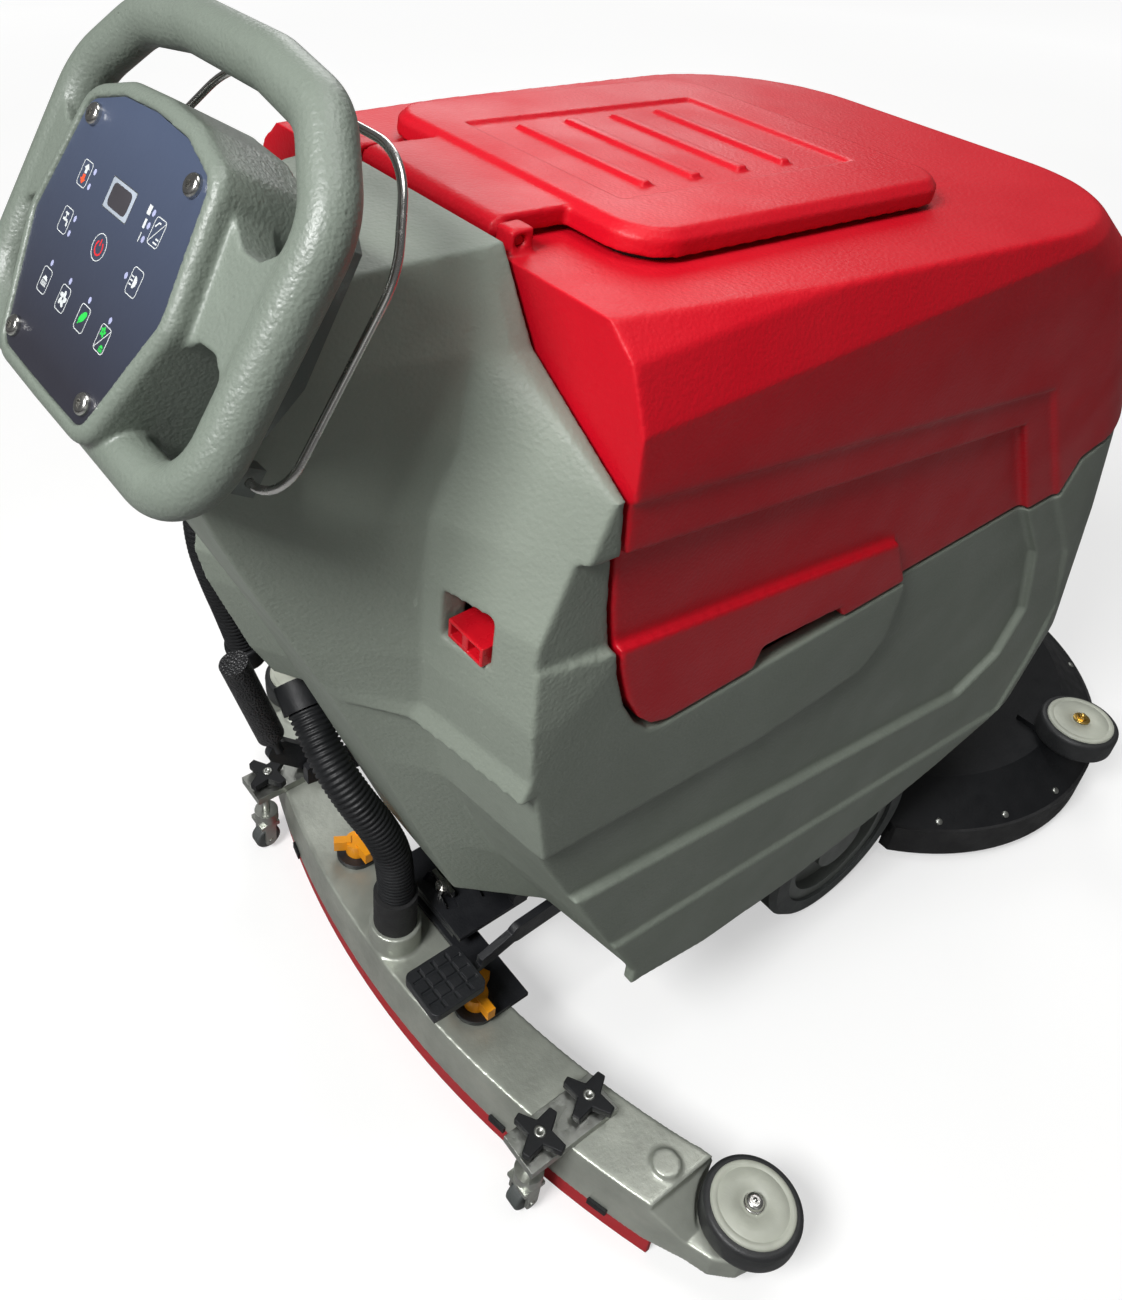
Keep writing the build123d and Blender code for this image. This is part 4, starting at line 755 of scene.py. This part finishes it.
def stud(name, place, r, body, material):
    """Round insert with a small recess."""
    profile = [(-0.0005, r), (0.0008, r), (0.0014, r * 0.8), (0.0014, r * 0.45), (0.0004, r * 0.4),
               (0.0003, r * 0.02)]
    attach(turned(name, profile, place, UPWARD, material, 20), body)


def hex_bolt(name, place, r, tall, body, material):
    """Washer with a six-sided head and a domed end on it."""
    washer = [(-0.0005, r * 1.7), (0.0010, r * 1.7), (0.0013, r * 1.6), (0.0013, r * 0.5)]
    head = [(0.001, r), (tall * 0.75, r), (tall, r * 0.86), (tall, r * 0.6)]
    tip = [(tall - 0.0005, r * 0.58), (tall + r * 0.3, r * 0.56), (tall + r * 0.55, r * 0.34),
           (tall + r * 0.6, r * 0.02)]
    for part, profile, sides in (("washer", washer, 28), ("head", head, 6), ("tip", tip, 20)):
        obj = turned(name + "_" + part, profile, place, UPWARD, material, sides)
        for p in obj.data.polygons:
            p.use_smooth = sides > 6
        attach(obj, body)


def add_fittings(m):
    for side, k in SIDES:
        y = k * END_ROLLER_Y
        bumper_roller("end_roller_" + side, END_ROLLER_X, y, END_ROLLER_TOP, m)
        hex_bolt("end_bolt_" + side, (END_ROLLER_X, y, END_BOLT_FOOT), END_BOLT_R, BOLT_TALL,
                 "bumper_" + side, m["stainless"])
        for place, x in STAR_X.items():
            body = "star_%s_%s" % (place, side)
            stud("insert_" + body, (x, k * STAR_Y, STAR_TOP), INSERT_R, body, m["zinc"])
    for i in range(RIM_COUNT):
        if i != RIM_FREE:
            t = math.radians(360 / RIM_COUNT * i + RIM_START)
            out = (RIM_LEAN * math.cos(t), RIM_LEAN * math.sin(t), RIM_RISE)
            place = (RIM_X + RIM_RADIUS * math.cos(t), RIM_RADIUS * math.sin(t), RIM_Z)
            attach(turned("rim_bolt_%d" % i, RIM_BOLT, place, out, m["zinc"], 12), "deck")
    bumper_roller("deck_roller", DECK_ROLLER_X, DECK_ROLLER_Y, DECK_ROLLER_TOP, m)
    hex_bolt("deck_roller_bolt", (DECK_ROLLER_X, DECK_ROLLER_Y, DECK_BOLT_FOOT), DECK_BOLT_R, BOLT_TALL,
             "deck_bumper", m["brass"])


# Floor and light

FLOOR_HALF, FLOOR_Z = 9.0, -0.001
FLOOR_PALE = (172, 172, 171), (176, 176, 175)
FLOOR_BOUNCE = (140, 140, 140)
GLOW_NEAR, GLOW_FAR = 0.54, 0.86
NEAR, FAR = 1.2, 4.0
SKY_STRENGTH = 0.13
BACKDROP = (0.93, 0.93, 0.93, 1.0)

# Lamps: name, place, aim, size, power
LAMPS = [("key", (-2.1, -0.4, 2.5), (-0.15, 0.0, 0.55), 0.8, 96),
         ("top", (0.2, -0.2, 3.0), (0.0, 0.0, 0.5), 1.2, 24),
         ("fill", (-1.6, -3.0, 1.5), (-0.2, 0.0, 0.5), 1.8, 4),
         ("rim", (1.6, 2.0, 2.2), (0.0, 0.0, 0.5), 1.6, 26)]


def add_floor():
    """Pale floor that glows a little to the camera, more so far away."""
    f = Finish("floor").put(Roughness=0.9, Emission_Color=WHITE)
    pale = f.mix(f.cloud(1.5, 2.0), linear(FLOOR_PALE[0]), linear(FLOOR_PALE[1]))
    seen = f.node("ShaderNodeLightPath").outputs["Is Camera Ray"]
    f.colour(f.mix(seen, linear(FLOOR_BOUNCE), pale))
    reach = f.node("ShaderNodeVectorMath")
    reach.operation = "LENGTH"
    f.link(f.place, reach.inputs[0])
    glow = f.span(reach.outputs["Value"], NEAR, FAR, GLOW_NEAR, GLOW_FAR)
    f.link(f.calc("MULTIPLY", seen, glow), f.shader.inputs["Emission Strength"])
    corners = [(x * FLOOR_HALF, y * FLOOR_HALF, FLOOR_Z) for x, y in ((-1, -1), (1, -1), (1, 1), (-1, 1))]
    piece("floor", corners, [(0, 1, 2, 3)], f.material)


def add_world():
    """Dim white sky, with a plain white backdrop behind the part."""
    world = bpy.data.worlds.new("world")
    scene.world = world
    world.use_nodes = True
    tree = world.node_tree
    sky = tree.nodes["Background"]
    sky.inputs["Color"].default_value = WHITE
    sky.inputs["Strength"].default_value = SKY_STRENGTH
    white = tree.nodes.new("ShaderNodeBackground")
    white.inputs["Color"].default_value = BACKDROP
    rays = tree.nodes.new("ShaderNodeLightPath")
    either = tree.nodes.new("ShaderNodeMath")
    either.operation = "MAXIMUM"
    tree.links.new(rays.outputs["Is Camera Ray"], either.inputs[0])
    tree.links.new(rays.outputs["Is Transmission Ray"], either.inputs[1])
    mix = tree.nodes.new("ShaderNodeMixShader")
    tree.links.new(either.outputs[0], mix.inputs[0])
    tree.links.new(sky.outputs[0], mix.inputs[1])
    tree.links.new(white.outputs[0], mix.inputs[2])
    tree.links.new(mix.outputs[0], tree.nodes["World Output"].inputs["Surface"])


def add_lamp(name, place, aim, size, power):
    data = bpy.data.lights.new(name, "AREA")
    data.size = size
    data.energy = power
    obj = bpy.data.objects.new(name, data)
    scene.collection.objects.link(obj)
    obj.location = place
    obj.rotation_euler = (Vector(aim) - Vector(place)).to_track_quat("-Z", "Y").to_euler()


scene.view_settings.view_transform = "Standard"
add_camera()
MATERIALS = make_materials()
dress_nodes(MATERIALS)
soften_mouldings()
add_hoses(MATERIALS)
add_bail(MATERIALS)
add_marks(MATERIALS)
add_fittings(MATERIALS)
add_floor()
add_world()
for row in LAMPS:
    add_lamp(*row)
